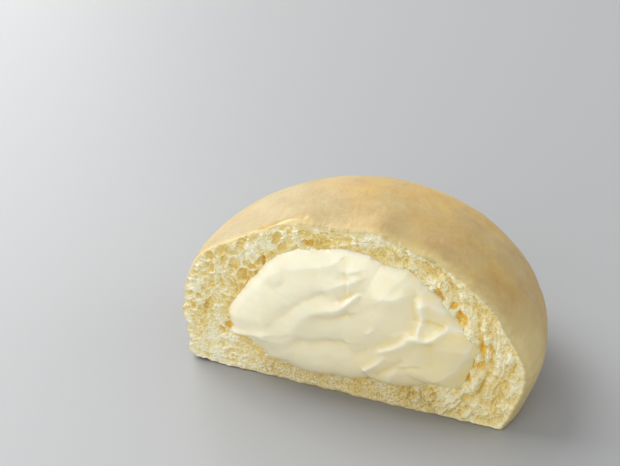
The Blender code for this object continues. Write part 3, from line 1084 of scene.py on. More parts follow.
def mark_seams(slab, rows, count):
    """Make the edges along both seams sharp, so that the tucked columns don't change the shading."""
    column = np.arange(len(slab.data.vertices)) % count
    on_seam = (column == GUARD) | (column == count - 1 - GUARD)
    on_seam[rows * count :] = False
    ends = np.zeros(2 * len(slab.data.edges), np.int32)
    slab.data.edges.foreach_get("vertices", ends)
    ends = ends.reshape(-1, 2)
    sharp = on_seam[ends].all(axis=1) & (column[ends[:, 0]] == column[ends[:, 1]])
    slab.data.attributes.new("sharp_edge", "BOOLEAN", "EDGE").data.foreach_set("value", sharp)


def slab_object(name, front, back, shades):
    """A closed slab: a table of front points, and one row of points behind its first and last rows."""
    rows, count = front.shape[:2]
    points = to_frame(np.concatenate([front.reshape(-1, 3), back[0], back[1]]))
    joined = {}
    for shade, values in shades.items():
        joined[shade] = np.concatenate([values.ravel(), values[0], values[-1]])
    slab = mesh_object(name, points, *slab_faces(rows, count), joined)
    mark_seams(slab, rows, count)
    return slab


print("a slab of 3 by 4 points has", len(slab_faces(3, 4)[0]), "squares")

# %% The three slabs
FACE_PARTS = 3
SLAB_BACK = 4.2
SLAB_RADIUS = 45.0
SLAB_UNDER_CRUST = 1.2
TUCKED_UNDER = 3.9
face_points = np.stack([flat_x, depth, flat_z], axis=-1)
face_shades = {"tone": tone, "skin": turned_over, "toast_and_shade": toast_and_shade, "amber_shade": amber_shade}
behind_mouth = level_ring(crumb_theta, radius[0], SLAB_BACK)
behind_rim = skin_points(crumb_theta, np.full(CRUMB_COLUMNS, SLAB_BACK / SLAB_RADIUS), SLAB_UNDER_CRUST)
behind_rim[:, 1] = SLAB_BACK
faces = []
for part in range(FACE_PARTS):
    chosen = np.arange(-GUARD, CRUMB_COLUMNS // FACE_PARTS + 1 + GUARD) + part * CRUMB_COLUMNS // FACE_PARTS
    chosen = chosen % CRUMB_COLUMNS
    front = face_points[:, chosen]
    for k in range(GUARD):
        for column in (k, len(chosen) - 1 - k):
            front[:, column, 1] += (TUCKED_UNDER - front[:, column, 1]) * (GUARD - k) / GUARD
    shades = {shade: values[:, chosen] for shade, values in face_shades.items()}
    backs = (behind_mouth[chosen], behind_rim[chosen])
    faces.append(slab_object("crumb_face_%d" % (part + 1), front, backs, shades))
print(len(faces), "slabs,", len(chosen), "columns each")

# %% [markdown]
# ## The crust
#
# The crust is a thin bowl over the crumb, and its cut edge shows as a fine line round it. Made as one
# surface the two would share their points, but the crust is smooth and wants few of them, so it is a
# piece of its own. Its skin has soft swells, a pebbled grain, and pleats at the right, where the soft side
# sank under the knife.

# %% Relief of the skin
CRUST_COLUMNS = 1120
SWELLS = ((9.0, 0.16, 61), (4.2, 0.1, 62), (1.3, 0.06, 63), (0.6, 0.04, 64))
PLEATS = ((3.0, 1.0, 65), (1.4, 0.5, 66))
PLEAT_HEIGHT = 0.42
PLEAT_RADIUS = 40.0
PLEAT_DRAW = 0.12
PLEAT_SECTOR = (-20, 12, 14)
PLEATS_BEGIN = (0.5, 3.0)
PLEATS_END = (12.0, 26.0)
crust_theta = columns(CRUST_COLUMNS)


def crust_relief(theta, back):
    """Soft swells and a fine pebbled grain, in millimetres out of the skin."""
    x, y, z = skin_points(theta, back).T
    round_the_cut = np.radians(angle_between(theta, 0.0)) * PLEAT_RADIUS
    pleats = PLEAT_HEIGHT * clouds(round_the_cut, 0.0, y * PLEAT_DRAW, PLEATS) * sector(theta, *PLEAT_SECTOR)
    return clouds(x, y, z, SWELLS) + pleats * ease(y, *PLEATS_BEGIN) * falling(y, *PLEATS_END)


print("relief just behind the cut, mm:", crust_relief(crust_theta[::280], np.full(4, 0.05)).round(2))

# %% How far back each ring is
LIP_RINGS = 7
NEAR_RINGS = 18
NEAR_REACH = 0.075
FAR_RINGS = 60
FAR_POWER = 1.15
UNDER_FRINGE = 18.0
LIP_SPREAD = 1.2
rim_at = np.interp(crust_theta, crumb_theta, rim_wave, period=FULL_TURN)
crust_start = np.interp(crust_theta, crumb_theta, fringe_turn, period=FULL_TURN) - math.radians(UNDER_FRINGE)
crust_lip = rounding(crust_theta, 0.0)


def back_angles():
    """How far each ring of the skin is turned back: from under the fringe, then wider and wider."""
    rings = []
    for k in range(LIP_RINGS):
        turn = crust_start + (QUARTER_TURN - crust_start) * k / LIP_RINGS
        rings.append(crust_lip * (1.0 - np.cos(turn)) / HEIGHT * LIP_SPREAD)
    start = crust_lip / HEIGHT * LIP_SPREAD
    rings += [start + (NEAR_REACH - start) * k / NEAR_RINGS for k in range(NEAR_RINGS)]
    wide = [NEAR_REACH + (QUARTER_TURN - NEAR_REACH) * (k / FAR_RINGS) ** FAR_POWER for k in range(FAR_RINGS)]
    return rings + [np.full(CRUST_COLUMNS, turn) for turn in wide]


print(len(back_angles()), "rings of skin")

# %% How baked the skin is, and the painted shade across it
BAKE_PATCHES = ((15.0, 0.16, 91), (6.5, 0.2, 92), (2.6, 0.12, 93), (0.9, 0.06, 94))
CALM_LEFT = (-32.0, 6.0, 0.6)
BAKE_LEAST = 0.11
BAKE_MOST = 0.85
# partly real baking and partly painted shade: greyer skin on the lit left, more orange skin on the shaded
# right
BAKE_AND_SHADE_ACROSS = ((-34.0, 8.0, 0.36), (8.0, 46.0, 0.1))
CROWN_BAKE = 0.1
CROWN_LEVELS = (28.0, 52.0)
CROWN_BEHIND = (0.0, 9.0)
TOASTED = 0.7
TOASTED_BELOW = (0.1, 1.0)


def bake_and_shade_at(points):
    """How baked each place is, 0 to 1, more on the crown and the far side, plus painted shade rising to the
    right.
    """
    x, y, z = points.T
    heat = BAKE_LEAST + clouds(x, y, z, BAKE_PATCHES) * rising(x, *CALM_LEFT)
    heat += sum(share * ease(x, left, right) for left, right, share in BAKE_AND_SHADE_ACROSS)
    heat += CROWN_BAKE * ease(z, *CROWN_LEVELS) * ease(y, *CROWN_BEHIND)
    return np.clip(np.clip(heat, 0.0, BAKE_MOST) + TOASTED * falling(z, *TOASTED_BELOW), 0.0, 1.0)


print("bake at the crown:", bake_and_shade_at(skin_points(np.full(1, QUARTER_TURN), np.full(1, 0.5))).round(2))

# %% How pale the skin is
WORN_OFF = ((2.4, 0.9, 95), (0.9, 0.5, 96))
PALE_LEAST = 0.3
PALE_MORE = 0.5
PALE_FROM = (-10.0, 24.0)
PALE_WIDTH = 2.6
CREASE_PALE = 0.25
CREASE_PALE_WIDTH = 3.0
CREASE_PALE_AHEAD = (0.0, 0.4)
RIGHT_PALE = 0.75
RIGHT_SECTOR = (-22, 20, 18)
RIGHT_RAGGED = 3.0
RIGHT_PALE_TO = (6.0, 24.0)
FOOT_NOT_PALE = (0.3, 1.5)


def pale_at(angles, ring, behind, apart, ahead):
    """How pale each place is: along the cut's edge, in front of the crease and at the torn right side."""
    worn_off = clouds(*ring.T, WORN_OFF)
    share = PALE_LEAST + PALE_MORE * ease(ring[:, 0], *PALE_FROM)
    pale = share * bell(np.maximum(behind + worn_off, 0.0), PALE_WIDTH)
    pale += CREASE_PALE * ease(ahead, *CREASE_PALE_AHEAD) * bell(apart, CREASE_PALE_WIDTH)
    torn_back = falling(behind + RIGHT_RAGGED * worn_off, *RIGHT_PALE_TO)
    pale += RIGHT_PALE * sector(angles, *RIGHT_SECTOR) * torn_back
    return np.clip(pale, 0.0, 1.0) * ease(ring[:, 2], *FOOT_NOT_PALE)


print("pale for", PALE_WIDTH, "mm behind the cut")

# %% The crust as one piece
INSIDE_RINGS = 13
INSIDE_SKIPS = (1, 2)
WAVE_BEHIND = 4.0
SLIT_WIDTH = 0.8
FINE_FAR_RINGS = 36


def along_rim(ring, skip):
    """Move a ring with the rim's waves, less and less further back."""
    ring[:, 1] += rim_at[::skip] * bell(ring[:, 1], WAVE_BEHIND)
    return ring


def inside_rings():
    """The rings of the crust's inside, from the back of the bun forward to the cut."""
    rings = [skin_points(np.zeros(1), np.full(1, QUARTER_TURN), CRUST)]
    for k in range(INSIDE_RINGS - 1, -1, -1):
        skip = skip_at(k, *INSIDE_SKIPS)
        angles = crust_theta[::skip]
        back = (k / INSIDE_RINGS) * (QUARTER_TURN - LIP / HEIGHT) + LIP / HEIGHT
        rings.append(along_rim(skin_points(angles, np.full(len(angles), back), CRUST), skip))
    return rings


def crust_rings():
    """Every ring of the crust, forward along its inside, over its cut edge and back over the skin."""
    rings = inside_rings()
    edge = [np.ones(len(ring)) for ring in rings]
    slit = [np.zeros(len(ring)) for ring in rings]
    fine_rings = LIP_RINGS + NEAR_RINGS
    for k, turned in enumerate(back_angles()):
        skip = skip_at(k, fine_rings, fine_rings + FINE_FAR_RINGS)
        angles = crust_theta[::skip]
        back = turned[::skip]
        ring = skin_points(angles, back, 0.0, crust_relief(angles, back) * min(1.0, k / LIP_RINGS))
        behind = ring[:, 1].copy()
        rings.append(along_rim(ring, skip))
        apart, ahead = crease_distance(angles, behind)
        edge.append(pale_at(angles, ring, behind, apart, ahead))
        slit.append(bell(apart, SLIT_WIDTH))
    rings.append(skin_points(np.zeros(1), np.full(1, QUARTER_TURN)))
    edge.append(np.zeros(1))
    slit.append(np.zeros(1))
    return rings, {"edge": edge, "slit": slit, "bake_and_shade": [bake_and_shade_at(ring) for ring in rings]}


crust = ringed_object("crust", *crust_rings())

# %% [markdown]
# ## The cream
#
# Whipped cream holds the shape that the knife left: folds with one steep and one gentle side, small
# torn peaks and hollows. It could be sculpted by hand, but then no size of it could be changed later.
# Here each fold is a line with a height, a wide side and a narrow side, and the sum of all folds lifts
# the cream's front off a smooth bulge.

# %% Folds of the cream
# each fold: its line of places, then for its start and its end the height and the widths left and right
CREAM_FOLDS = (
    # the rolled upper rim
    (
        ((-31.3, 25.8), (-24.6, 32.6), (-21.7, 36.2), (-17.2, 38.8), (-12.7, 40), (-7.1, 41.8), (-2.6, 44.2)),
        ((0.7, 1.0), (2.6, 3.2), (1.6, 1.0)),
    ),
    # the deep hollow behind it, and the dip beside that
    (((-18.4, 37.8), (-18.0, 34.6), (-20.6, 32.2)), ((-1.2, -1.1), (2.4, 2.6), (1.6, 2.2))),
    (((-0.6, 44.2), (0.2, 39.6)), ((-0.8, -1.0), (0.8, 0.8), (2.0, 2.8))),
    (((0.6, 41.8), (3.0, 42.4)), ((0.6, 0.6), (1.5, 1.5), (0.8, 0.8))),
    # the long trough and the slope under it
    (
        ((-24.5, 18.5), (-20.9, 21.6), (-15.4, 27.0), (-11.8, 31.0), (-8.6, 33.2), (-6.4, 34.0)),
        ((-0.6, -0.9), (2.4, 1.3), (2.2, 1.6)),
    ),
    (
        ((-15.8, 20.6), (-11.8, 25.0), (-9.2, 27.8), (-5.5, 29.7), (-2.8, 30.6), (0.8, 33.0), (3.6, 36.0)),
        ((1.0, 1.0), (3.8, 0.4), (2.6, 0.6)),
    ),
    (((-7.5, 27.0), (-2.6, 28.2), (1.2, 30.2)), ((-0.5, -1.1), (0.9, 1.0), (2.2, 2.0))),
    # the small fold in the middle
    (((-5.0, 35.8), (-0.5, 38.2), (2.5, 39.6)), ((0.5, 0.8), (1.5, 1.3), (1.0, 0.9))),
    (((-1.2, 33.6), (2.0, 35.2)), ((-0.7, -1.2), (1.3, 1.8), (0.6, 0.6))),
    # the swelling in the middle of the right half
    (((10.2, 36.4), (15.4, 37.6)), ((1.1, 1.2), (2.6, 2.8), (2.2, 2.0))),
    (((18.8, 39.4), (19.2, 35), (19.8, 31.0)), ((-0.6, -0.8), (1.0, 1.1), (3.0, 3.2))),
    (((21.0, 35.6), (21.6, 32.6), (20.6, 29.0)), ((1.0, 0.8), (0.9, 0.9), (0.8, 0.7))),
    # the torn hollow at the right
    (((20.4, 36.5), (23.2, 35.9), (26.4, 34.6)), ((0.8, 1.3), (1.8, 1.6), (1.0, 1.0))),
    (((23.6, 31.2), (26.4, 31.1)), ((-1.4, -1.3), (2.8, 2.6), (1.3, 1.3))),
    (((21.0, 27.2), (22.8, 26.7), (25.1, 27.6), (26.9, 29.3)), ((1.0, 1.2), (0.8, 0.8), (1.9, 1.2))),
    (((24.6, 24.6), (25.2, 19.5)), ((-1.0, -0.6), (2.5, 3.0), (2.2, 2.0))),
    (((28.2, 30.4), (31.4, 29.4)), ((1.6, 1.4), (2.4, 2.0), (1.0, 1.0))),
    # the lower folds
    (((4.4, 18.0), (9.6, 22.3), (13.0, 24.6)), ((-0.9, -0.7), (2.6, 2.2), (3.0, 3.0))),
    (((11.0, 21.0), (14.2, 22.6), (17.4, 25.0), (19.0, 27.0)), ((0.9, 1.1), (0.6, 0.7), (1.4, 1.8))),
    (((6.8, 13.6), (9.3, 16.1), (12.0, 18.8)), ((1.0, 0.7), (0.8, 0.7), (1.0, 0.9))),
    (((9.8, 12.0), (13.6, 16.2), (16.8, 18.8)), ((-0.8, -0.6), (1.1, 1.1), (1.4, 1.2))),
    (((-12.6, 18.2), (-6, 19.6), (0.4, 21.0)), ((-1.3, -1.0), (1.3, 1.0), (2.8, 2.6))),
    (((-24.2, 15.4), (-19.6, 16.2), (-15.0, 16.9)), ((1.3, 0.7), (2.0, 1.6), (1.8, 1.2))),
    (((28.0, 15.4), (31.8, 18.8), (33.6, 23.0)), ((1.2, 1.4), (4.4, 4.2), (1.8, 1.4))),
    (((13.2, 10.4), (15.0, 14.5)), ((0.5, 0.4), (1.4, 1.3), (0.8, 0.8))),
    (((13.6, 41.4), (17.0, 40.6), (20.8, 39.2)), ((0.6, 0.8), (2.4, 2.2), (1.0, 1.0))),
    (((17, 16.8), (21.5, 17.8)), ((-0.4, -0.5), (0.6, 0.6), (0.9, 0.9))),
    (((-24.4, 27.5), (-23.2, 18)), ((0.5, 0.7), (1.8, 1.6), (2.6, 2.2))),
    (((7.2, 26.0), (8.6, 27.2)), ((0.3, 0.3), (0.6, 0.6), (0.6, 0.6))),
)
print(len(CREAM_FOLDS), "folds")

# %% One fold
SHARPNESS = 1.5
SIDE_CHANGE = 0.25


def between(pair, share):
    """From the first of a pair to the second, by the share."""
    return pair[0] + (pair[1] - pair[0]) * share


def fold(x, z, line, height, left, right):
    """A crease along a line of places: h * exp(-(d / w)^p); h and w change along the line."""
    steps = np.array([np.hypot(b[0] - a[0], b[1] - a[1]) for a, b in zip(line[:-1], line[1:])])
    starts = np.append(0.0, np.cumsum(steps)) / steps.sum()
    nearest = np.full(x.shape, NOWHERE)
    side = np.zeros(x.shape)
    share = np.zeros(x.shape)
    for k, ((xa, za), (xb, zb)) in enumerate(zip(line[:-1], line[1:])):
        dx, dz = xb - xa, zb - za
        along = np.clip(((x - xa) * dx + (z - za) * dz) / (dx * dx + dz * dz), 0.0, 1.0)
        apart = np.hypot(x - xa - along * dx, z - za - along * dz)
        closer = apart < nearest
        turn = (dx * (z - za) - dz * (x - xa)) / steps[k]
        side = np.where(closer, turn, side)
        share = np.where(closer, starts[k] + along * (starts[k + 1] - starts[k]), share)
        nearest = np.minimum(nearest, apart)
    even = 0.5 + 0.5 * np.clip(side / SIDE_CHANGE, -1.0, 1.0)
    width = between(left, share) * even + between(right, share) * (1.0 - even)
    return between(height, share) * np.exp(-((nearest / width) ** SHARPNESS))


SOFT_LIFT = ((7.0, 0.3, 51), (3.1, 0.14, 52), (1.4, 0.06, 56))
FOLD_BEND = 0.5
FOLD_BEND_SIZE = 3.6
FOLD_BEND_SEEDS = (57, 58)
FOLD_SHARE = 0.85
LEFT_LOSES = 0.4
LEFT_TO_RIGHT = (-12.0, 3.0)


def cream_lift(x, z):
    """How far the folds and a soft unevenness lift the cream at (x, z)."""
    lift = clouds(x, 0.0, z, SOFT_LIFT)
    bent_x = x + FOLD_BEND * cloud(x, 0.0, z, FOLD_BEND_SIZE, FOLD_BEND_SEEDS[0])
    bent_z = z + FOLD_BEND * cloud(x, 0.0, z, FOLD_BEND_SIZE, FOLD_BEND_SEEDS[1])
    share = FOLD_SHARE * (1.0 - LEFT_LOSES * falling(x, *LEFT_TO_RIGHT))
    for line, sizes in CREAM_FOLDS:
        lift = lift + share * fold(bent_x, bent_z, line, *sizes)
    return lift


print("lift in the middle:", cream_lift(np.zeros(1), np.full(1, CENTRE[1])).round(2), "mm")

# %% [markdown]
# ### From the bowl to the front
#
# Behind the cut the cream is a plain bowl that fills the pocket with a little play. In front it bulges
# out of the cut, and how steeply it leaves its edge changes round the cut. A frill and three drips make
# the edge uneven.

# %% Rings of the cream
CREAM_COLUMNS = 800
CREAM_BACK_RINGS = 12
BACK_SKIPS = (5, 7)
BACK_INSET = 1.5
CREAM_RINGS = 112
FRONT_SKIPS = (80, 100)
RING_POWER = 0.8
CREAM_BULGE = 6.0
EDGE_Y = 0.5
EDGE_STEEPNESS = np.array(
    [(0, 2.6), (45, 1.8), (90, 1.7), (135, 2.2), (180, 3.4), (225, 4.6), (290, 4.6), (330, 3.4)]
)
EDGE_ROUNDNESS = np.array(
    [(0, 0.62), (45, 0.72), (90, 0.68), (135, 0.6), (180, 0.55), (225, 0.5), (290, 0.5), (330, 0.55)]
)
FRILL = ((1.6, 0.3, 59), (0.7, 0.15, 60))
FRILL_RADIUS = 30.0
FRILL_FROM = (0.93, 0.985)


def cream_back(theta_all):
    """The rings of the cream's bowl, from its deepest point forward to the cut."""
    deepest = POCKET_DEPTH - PLAY
    rings = [np.array([[CENTRE[0], deepest, CENTRE[1]]])]
    for k in range(1, CREAM_BACK_RINGS):
        theta = theta_all[:: skip_at(CREAM_BACK_RINGS - k, *BACK_SKIPS)]
        turn = (k / CREAM_BACK_RINGS) * QUARTER_TURN
        away = (cream_radius(theta) - BACK_INSET * math.cos(turn)) * math.sin(turn)
        rings.append(level_ring(theta, away, EDGE_Y + (deepest - EDGE_Y) * math.cos(turn)))
    return rings


def cream_front(theta_all):
    """The rings from the cream's edge to the middle of its front: a bulge, and the folds on it."""
    rings = []
    for k in range(CREAM_RINGS):
        theta = theta_all[:: skip_at(k, *FRONT_SKIPS)]
        inward = np.cos(k / CREAM_RINGS * QUARTER_TURN) ** RING_POWER
        frill = clouds(np.cos(theta) * FRILL_RADIUS, 0.0, np.sin(theta) * FRILL_RADIUS, FRILL)
        away = cream_radius(theta) * inward + (waves(theta, DRIPS) + frill) * ease(inward, *FRILL_FROM)
        steep = np.clip(1.0 - inward ** by_angle(theta, EDGE_STEEPNESS), 0.0, 1.0)
        swell = steep ** by_angle(theta, EDGE_ROUNDNESS)
        ring = level_ring(theta, away, 0.0)
        ring[:, 1] = EDGE_Y * (1.0 - swell) - (CREAM_BULGE + cream_lift(ring[:, 0], ring[:, 2])) * swell
        rings.append(ring)
    tip = np.array([[CENTRE[0], 0.0, CENTRE[1]]])
    tip[:, 1] = -(CREAM_BULGE + cream_lift(tip[:, 0], tip[:, 2]))
    return rings + [tip]


cream_theta = np.arange(CREAM_COLUMNS) * FULL_TURN / CREAM_COLUMNS
# from the front to the back, so that the faces point outwards
rings_of_cream = (cream_back(cream_theta) + cream_front(cream_theta))[::-1]
print(len(rings_of_cream), "rings of cream")

# %% Painted shade on the cream
DIP_REACH = 1.6
DIP_PLACES = 8
DIP_MIDDLE = 0.42
DIP_SHARE = 0.7
# painted shade rising towards the right and towards the bottom, away from the lamps
SHADE_TO_RIGHT = 0.2 / 30.0
SHADE_TO_TOP = -0.14 / 15.0


def cream_shade_at(x, z):
    """Painted shade: how far below its surroundings each place is, as a share, rising slowly to the lower
    right.
    """
    turns = np.arange(DIP_PLACES) * FULL_TURN / DIP_PLACES
    around = [cream_lift(x + DIP_REACH * math.cos(a), z + DIP_REACH * math.sin(a)) for a in turns]
    cream_shade = DIP_SHARE * (np.mean(around, axis=0) - cream_lift(x, z))
    return np.clip(DIP_MIDDLE + SHADE_TO_RIGHT * x + SHADE_TO_TOP * (z - CENTRE[1]) + cream_shade, 0.0, 1.0)


cream_shades = [cream_shade_at(ring[:, 0], ring[:, 2]) * (ring[:, 1] < EDGE_Y) for ring in rings_of_cream]
cream = ringed_object("cream", rings_of_cream, {"cream_shade": cream_shades})

# %% [markdown]
# ## Finishes
#
# Three foods, three finishes: dull crumb, skin that is a little glossy, and wet cream. Each lets some
# light through, which is what makes food look like food. Image textures would need places on a flat map,
# so every colour comes instead from a number on the points or from a cloud on the object's own places.

# %% Helpers for materials
SRGB_KNEE = 0.04045
SRGB_SLOPE = 12.92
SRGB_OFFSET = 0.055
SRGB_POWER = 2.4
WHITE_LEVEL = 255.0


def material(name):
    """An empty node material and its Principled shader."""
    made = bpy.data.materials.new(name)
    made.use_nodes = True
    nodes = made.node_tree.nodes
    nodes.clear()
    output = nodes.new("ShaderNodeOutputMaterial")
    shader = nodes.new("ShaderNodeBsdfPrincipled")
    made.node_tree.links.new(shader.outputs[0], output.inputs["Surface"])
    return made, made.node_tree, shader


def set_inputs(shader, values):
    """Constants on the shader's own sockets, by the sockets' names."""
    for socket, value in values.items():
        shader.inputs[socket].default_value = value


def srgb(r, g, b):
    """A colour of the screen, 0 to 255, as the shader's linear numbers."""
    c = np.array([r, g, b]) / WHITE_LEVEL
    bright = ((c + SRGB_OFFSET) / (1.0 + SRGB_OFFSET)) ** SRGB_POWER
    return tuple(np.where(c <= SRGB_KNEE, c / SRGB_SLOPE, bright)) + (1.0,)


print("middle grey in the shader:", round(float(srgb(128, 128, 128)[0]), 3))

# %% Helpers for colours


def attribute(tree, name):
    """A node that reads one number of each point."""
    node = tree.nodes.new("ShaderNodeAttribute")
    node.attribute_name = name
    return node.outputs["Fac"]


def ramp(tree, factor, stops):
    """The colours of a list of stops, each with its place from 0 to 1, read at the factor."""
    node = tree.nodes.new("ShaderNodeValToRGB")
    elements = node.color_ramp.elements
    elements.remove(elements[1])
    for k, (place, colour) in enumerate(stops):
        stop = elements[0] if k == 0 else elements.new(place)
        stop.position = place
        stop.color = srgb(*colour)
    tree.links.new(factor, node.inputs["Fac"])
    return node.outputs["Color"]


def noise(tree, scale, detail, rough=0.5):
    """A cloud in the shader, on the object's own places in metres; rough is the share of its fine parts."""
    place = tree.nodes.new("ShaderNodeTexCoord")
    node = tree.nodes.new("ShaderNodeTexNoise")
    set_inputs(node, {"Scale": scale, "Detail": detail, "Roughness": rough})
    tree.links.new(place.outputs["Object"], node.inputs["Vector"])
    return node.outputs["Fac"]


def grained(tree, shader, scale, detail, strength, distance):
    """A fine grain in the shading only, from a cloud much smaller than the mesh."""
    node = tree.nodes.new("ShaderNodeBump")
    set_inputs(node, {"Strength": strength, "Distance": distance})
    tree.links.new(noise(tree, scale, detail), node.inputs["Height"])
    tree.links.new(node.outputs["Normal"], shader.inputs["Normal"])


def mixed(tree, factor, first, second):
    """One colour where the factor is 0 and another where it is 1; the second is three numbers."""
    node = tree.nodes.new("ShaderNodeMix")
    node.data_type = "RGBA"
    tree.links.new(factor, node.inputs["Factor"])
    tree.links.new(first, node.inputs["A"])
    node.inputs["B"].default_value = srgb(*second)
    return node.outputs["Result"]


print("colour helpers ready")

# %% [markdown]
# ### Crumb
#
# A thread is nearly white and a hollow is yellow with painted shade, so a ramp turns the tone of each point
# into a colour. The turned-over skin, the painted warm shade of holes and of hollows beside the cream, and
# the toasted line with painted shade at the foot and in the crack are mixed over it.

# %% Crumb
# scale, detail, strength and height in metres
CRUMB_GRAIN = (3000.0, 2.0, 0.3, 0.0002)
CRUMB_TONES = (
    (0.0, (251, 245, 215)),
    (0.25, (245, 233, 183)),
    (0.5, (240, 219, 150)),
    (0.75, (232, 207, 127)),
    (1.0, (223, 192, 105)),
)
# real turned-over skin, painted warm shade in holes, and the toasted line with painted shade at the foot and
# crack
OVER_CRUMB = (("skin", (206, 186, 132)), ("amber_shade", (253, 216, 97)), ("toast_and_shade", (192, 172, 114)))
crumb_material, tree, shader = material("crumb")
grained(tree, shader, *CRUMB_GRAIN)
colour = ramp(tree, attribute(tree, "tone"), CRUMB_TONES)
for shade, second in OVER_CRUMB:
    colour = mixed(tree, attribute(tree, shade), colour, second)
tree.links.new(colour, shader.inputs["Base Color"])
set_inputs(
    shader,
    {
        "Roughness": 0.65,
        "Specular IOR Level": 0.3,
        "Subsurface Weight": 0.25,
        "Subsurface Radius": (1.0, 0.9, 0.55),
        "Subsurface Scale": 0.0007,
    },
)
for piece in [body] + faces:
    piece.data.materials.append(crumb_material)
print("crumb on", 1 + len(faces), "pieces")

# %% [markdown]
# ### Crust
#
# The crust's colour follows how baked each place is, and a painted shade makes it greyer on the lit left
# and more orange on the shaded right. Fine specks lie over it in a soft light mix, which keeps the colour
# under them, where a plain mix would turn it grey. The cut's edge is pale and the crease golden.

# %% Crust
CRUST_GRAIN = (900.0, 4.0, 0.6, 0.0003)
BAKE_COLOURS = (
    (0.0, (163, 149, 107)),
    (0.3, (170, 151, 106)),
    (0.5, (176, 152, 104)),
    (0.7, (182, 155, 96)),
    (0.85, (182, 152, 87)),
    (1.0, (158, 118, 62)),
)
SPECK_COLOURS = ((0.3, (164, 140, 100)), (0.7, (221, 216, 205)))
SPECKS = (130.0, 7.0, 0.7)
SPECK_SHARE = 0.5
PALE_COLOUR = (207, 187, 128)
SLIT_COLOUR = (206, 168, 84)
crust_material, tree, shader = material("crust")
grained(tree, shader, *CRUST_GRAIN)
blend = tree.nodes.new("ShaderNodeMix")
blend.data_type = "RGBA"
blend.blend_type = "SOFT_LIGHT"
blend.inputs["Factor"].default_value = SPECK_SHARE
tree.links.new(ramp(tree, attribute(tree, "bake_and_shade"), BAKE_COLOURS), blend.inputs["A"])
tree.links.new(ramp(tree, noise(tree, *SPECKS), SPECK_COLOURS), blend.inputs["B"])
paled = mixed(tree, attribute(tree, "edge"), blend.outputs["Result"], PALE_COLOUR)
tree.links.new(mixed(tree, attribute(tree, "slit"), paled, SLIT_COLOUR), shader.inputs["Base Color"])
set_inputs(
    shader,
    {
        "Roughness": 0.55,
        "Subsurface Weight": 0.3,
        "Subsurface Radius": (1.0, 0.6, 0.25),
        "Subsurface Scale": 0.0015,
    },
)
crust.data.materials.append(crust_material)
print("crust with", len(BAKE_COLOURS), "stages of baking")

# %% [markdown]
# ### Cream
#
# Cream is ivory; painted shade makes it yellower in its dips and towards its lower right. It is wet, so its
# roughness is low, and light passes through it more than through the bread.

# %% Cream
# ivory where there is little painted shade, yellower where there is most
CREAM_SHADE_COLOURS = ((0.1, (255, 241, 218)), (0.5, (255, 235, 200)), (1.0, (252, 227, 160)))
cream_material, tree, shader = material("cream")
tree.links.new(ramp(tree, attribute(tree, "cream_shade"), CREAM_SHADE_COLOURS), shader.inputs["Base Color"])
set_inputs(
    shader,
    {
        "Roughness": 0.2,
        "Subsurface Weight": 1.0,
        "Subsurface Radius": (1.0, 0.85, 0.6),
        "Subsurface Scale": 0.0009,
    },
)
cream.data.materials.append(cream_material)
print("cream with", len(CREAM_SHADE_COLOURS), "tones")

# %% [markdown]
# ## Handing over to the frame
#
# Each piece rides on the object's one body and takes the place of the solid that it dresses.

# %% Bodies and solids
belongs = [(piece, "bun_bread", "bread") for piece in [body, crust] + faces]
belongs.append((cream, "cream_filling", "cream"))
for piece, node, slot in belongs:
    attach(piece, "root")
    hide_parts(node)
print(len(belongs), "pieces handed over")

# %% [markdown]
# ## Floor, light and camera
#
# The bun stands on a plain grey floor, much wider than the view. It is there for the picture only.

# %% Floor
FLOOR_REACH = 3.0
FLOOR_COLOUR = (154, 155, 156)
FLOOR_ROUGHNESS = 0.5
floor_corners = [(x * FLOOR_REACH, y * FLOOR_REACH, 0.0) for x, y in ((-1, -1), (1, -1), (1, 1), (-1, 1))]
floor_mesh = bpy.data.meshes.new("floor")
floor_mesh.from_pydata(floor_corners, [], [(0, 1, 2, 3)])
floor = bpy.data.objects.new("floor", floor_mesh)
bpy.context.scene.collection.objects.link(floor)
floor_material, tree, shader = material("floor")
set_inputs(shader, {"Base Color": srgb(*FLOOR_COLOUR), "Roughness": FLOOR_ROUGHNESS})
floor.data.materials.append(floor_material)
print("floor", 2.0 * FLOOR_REACH, "m wide")

# %% [markdown]
# ### Lamps
#
# Large soft lamps a long way off give food its gentle shadows. The strongest one stands high at the bun's
# left, a little behind the cut, so that its light grazes the cut and every wall and fold throws a small
# shadow. A sun lamp would make those shadows hard. An even white world fills what the lamps leave dark.

# %% Lamps and world
AIM = (0.0, 0.0, 0.02)
CAMERA_AZIMUTH = 22.1
LAMP_SIZE = 0.8
LAMP_DISTANCE = 1.2
# name, degrees from the camera's azimuth, elevation and power
LAMPS = (("key", -120, 50, 12.2), ("back", -150, 25, 7.4), ("front", -30, 25, 4.4), ("side", 90, 25, 3.7))
WORLD_STRENGTH = 0.54


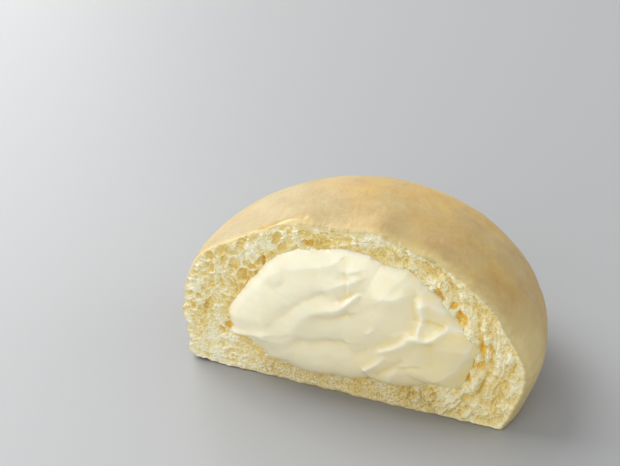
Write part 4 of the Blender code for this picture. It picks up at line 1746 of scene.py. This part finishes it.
def seen_from(azimuth, elevation, distance):
    """A place at an azimuth and elevation round the bun, where azimuth 0 looks along +Y."""
    a, e = math.radians(azimuth), math.radians(elevation)
    return np.array([math.sin(a) * math.cos(e), -math.cos(a) * math.cos(e), math.sin(e)]) * distance


def pointed(name, data, place, aim):
    """A lamp or camera at one place, turned so that it looks at another."""
    thing = bpy.data.objects.new(name, data)
    bpy.context.scene.collection.objects.link(thing)
    thing.location = place
    thing.rotation_mode = "QUATERNION"
    thing.rotation_quaternion = Vector(np.array(aim) - place).to_track_quat("-Z", "Y")
    return thing


for name, azimuth, elevation, power in LAMPS:
    lamp = bpy.data.lights.new(name, "AREA")
    lamp.shape = "SQUARE"
    lamp.size = LAMP_SIZE
    lamp.energy = power
    pointed(name, lamp, seen_from(CAMERA_AZIMUTH + azimuth, elevation, LAMP_DISTANCE), AIM)
world = bpy.data.worlds.new("room")
world.use_nodes = True
background = world.node_tree.nodes["Background"]
set_inputs(background, {"Color": (1.0, 1.0, 1.0, 1.0), "Strength": WORLD_STRENGTH})
bpy.context.scene.world = world
print(len(LAMPS), "lamps of", sum(lamp[-1] for lamp in LAMPS), "W in all")

# %% [markdown]
# ### Camera
#
# The camera looks down at the cut from a little to its right. Its place and lens were worked out from the
# bun's outline, the edge of the cut and the foot.

# %% Camera
CAMERA_ELEVATION = 30.0
CAMERA_DISTANCE = 398.21
CAMERA_TARGET = np.array([-11.462, 0.0, 49.604])
FRAME_WIDTH = 620
FOCAL_PIXELS = 1500.0
SENSOR = 36.0
CLIP_START = 0.01
CLIP_END = 20.0
camera_data = bpy.data.cameras.new("camera")
camera_data.sensor_width = SENSOR
camera_data.lens = FOCAL_PIXELS / FRAME_WIDTH * SENSOR
camera_data.clip_start = CLIP_START
camera_data.clip_end = CLIP_END
target = (CAMERA_TARGET - ORIGIN) * MM
away = seen_from(CAMERA_AZIMUTH, CAMERA_ELEVATION, CAMERA_DISTANCE * MM)
camera = pointed("camera", camera_data, target + away, target)
bpy.context.scene.camera = camera
bpy.context.scene.view_settings.view_transform = "Standard"
print("lens", round(camera_data.lens, 1), "mm")
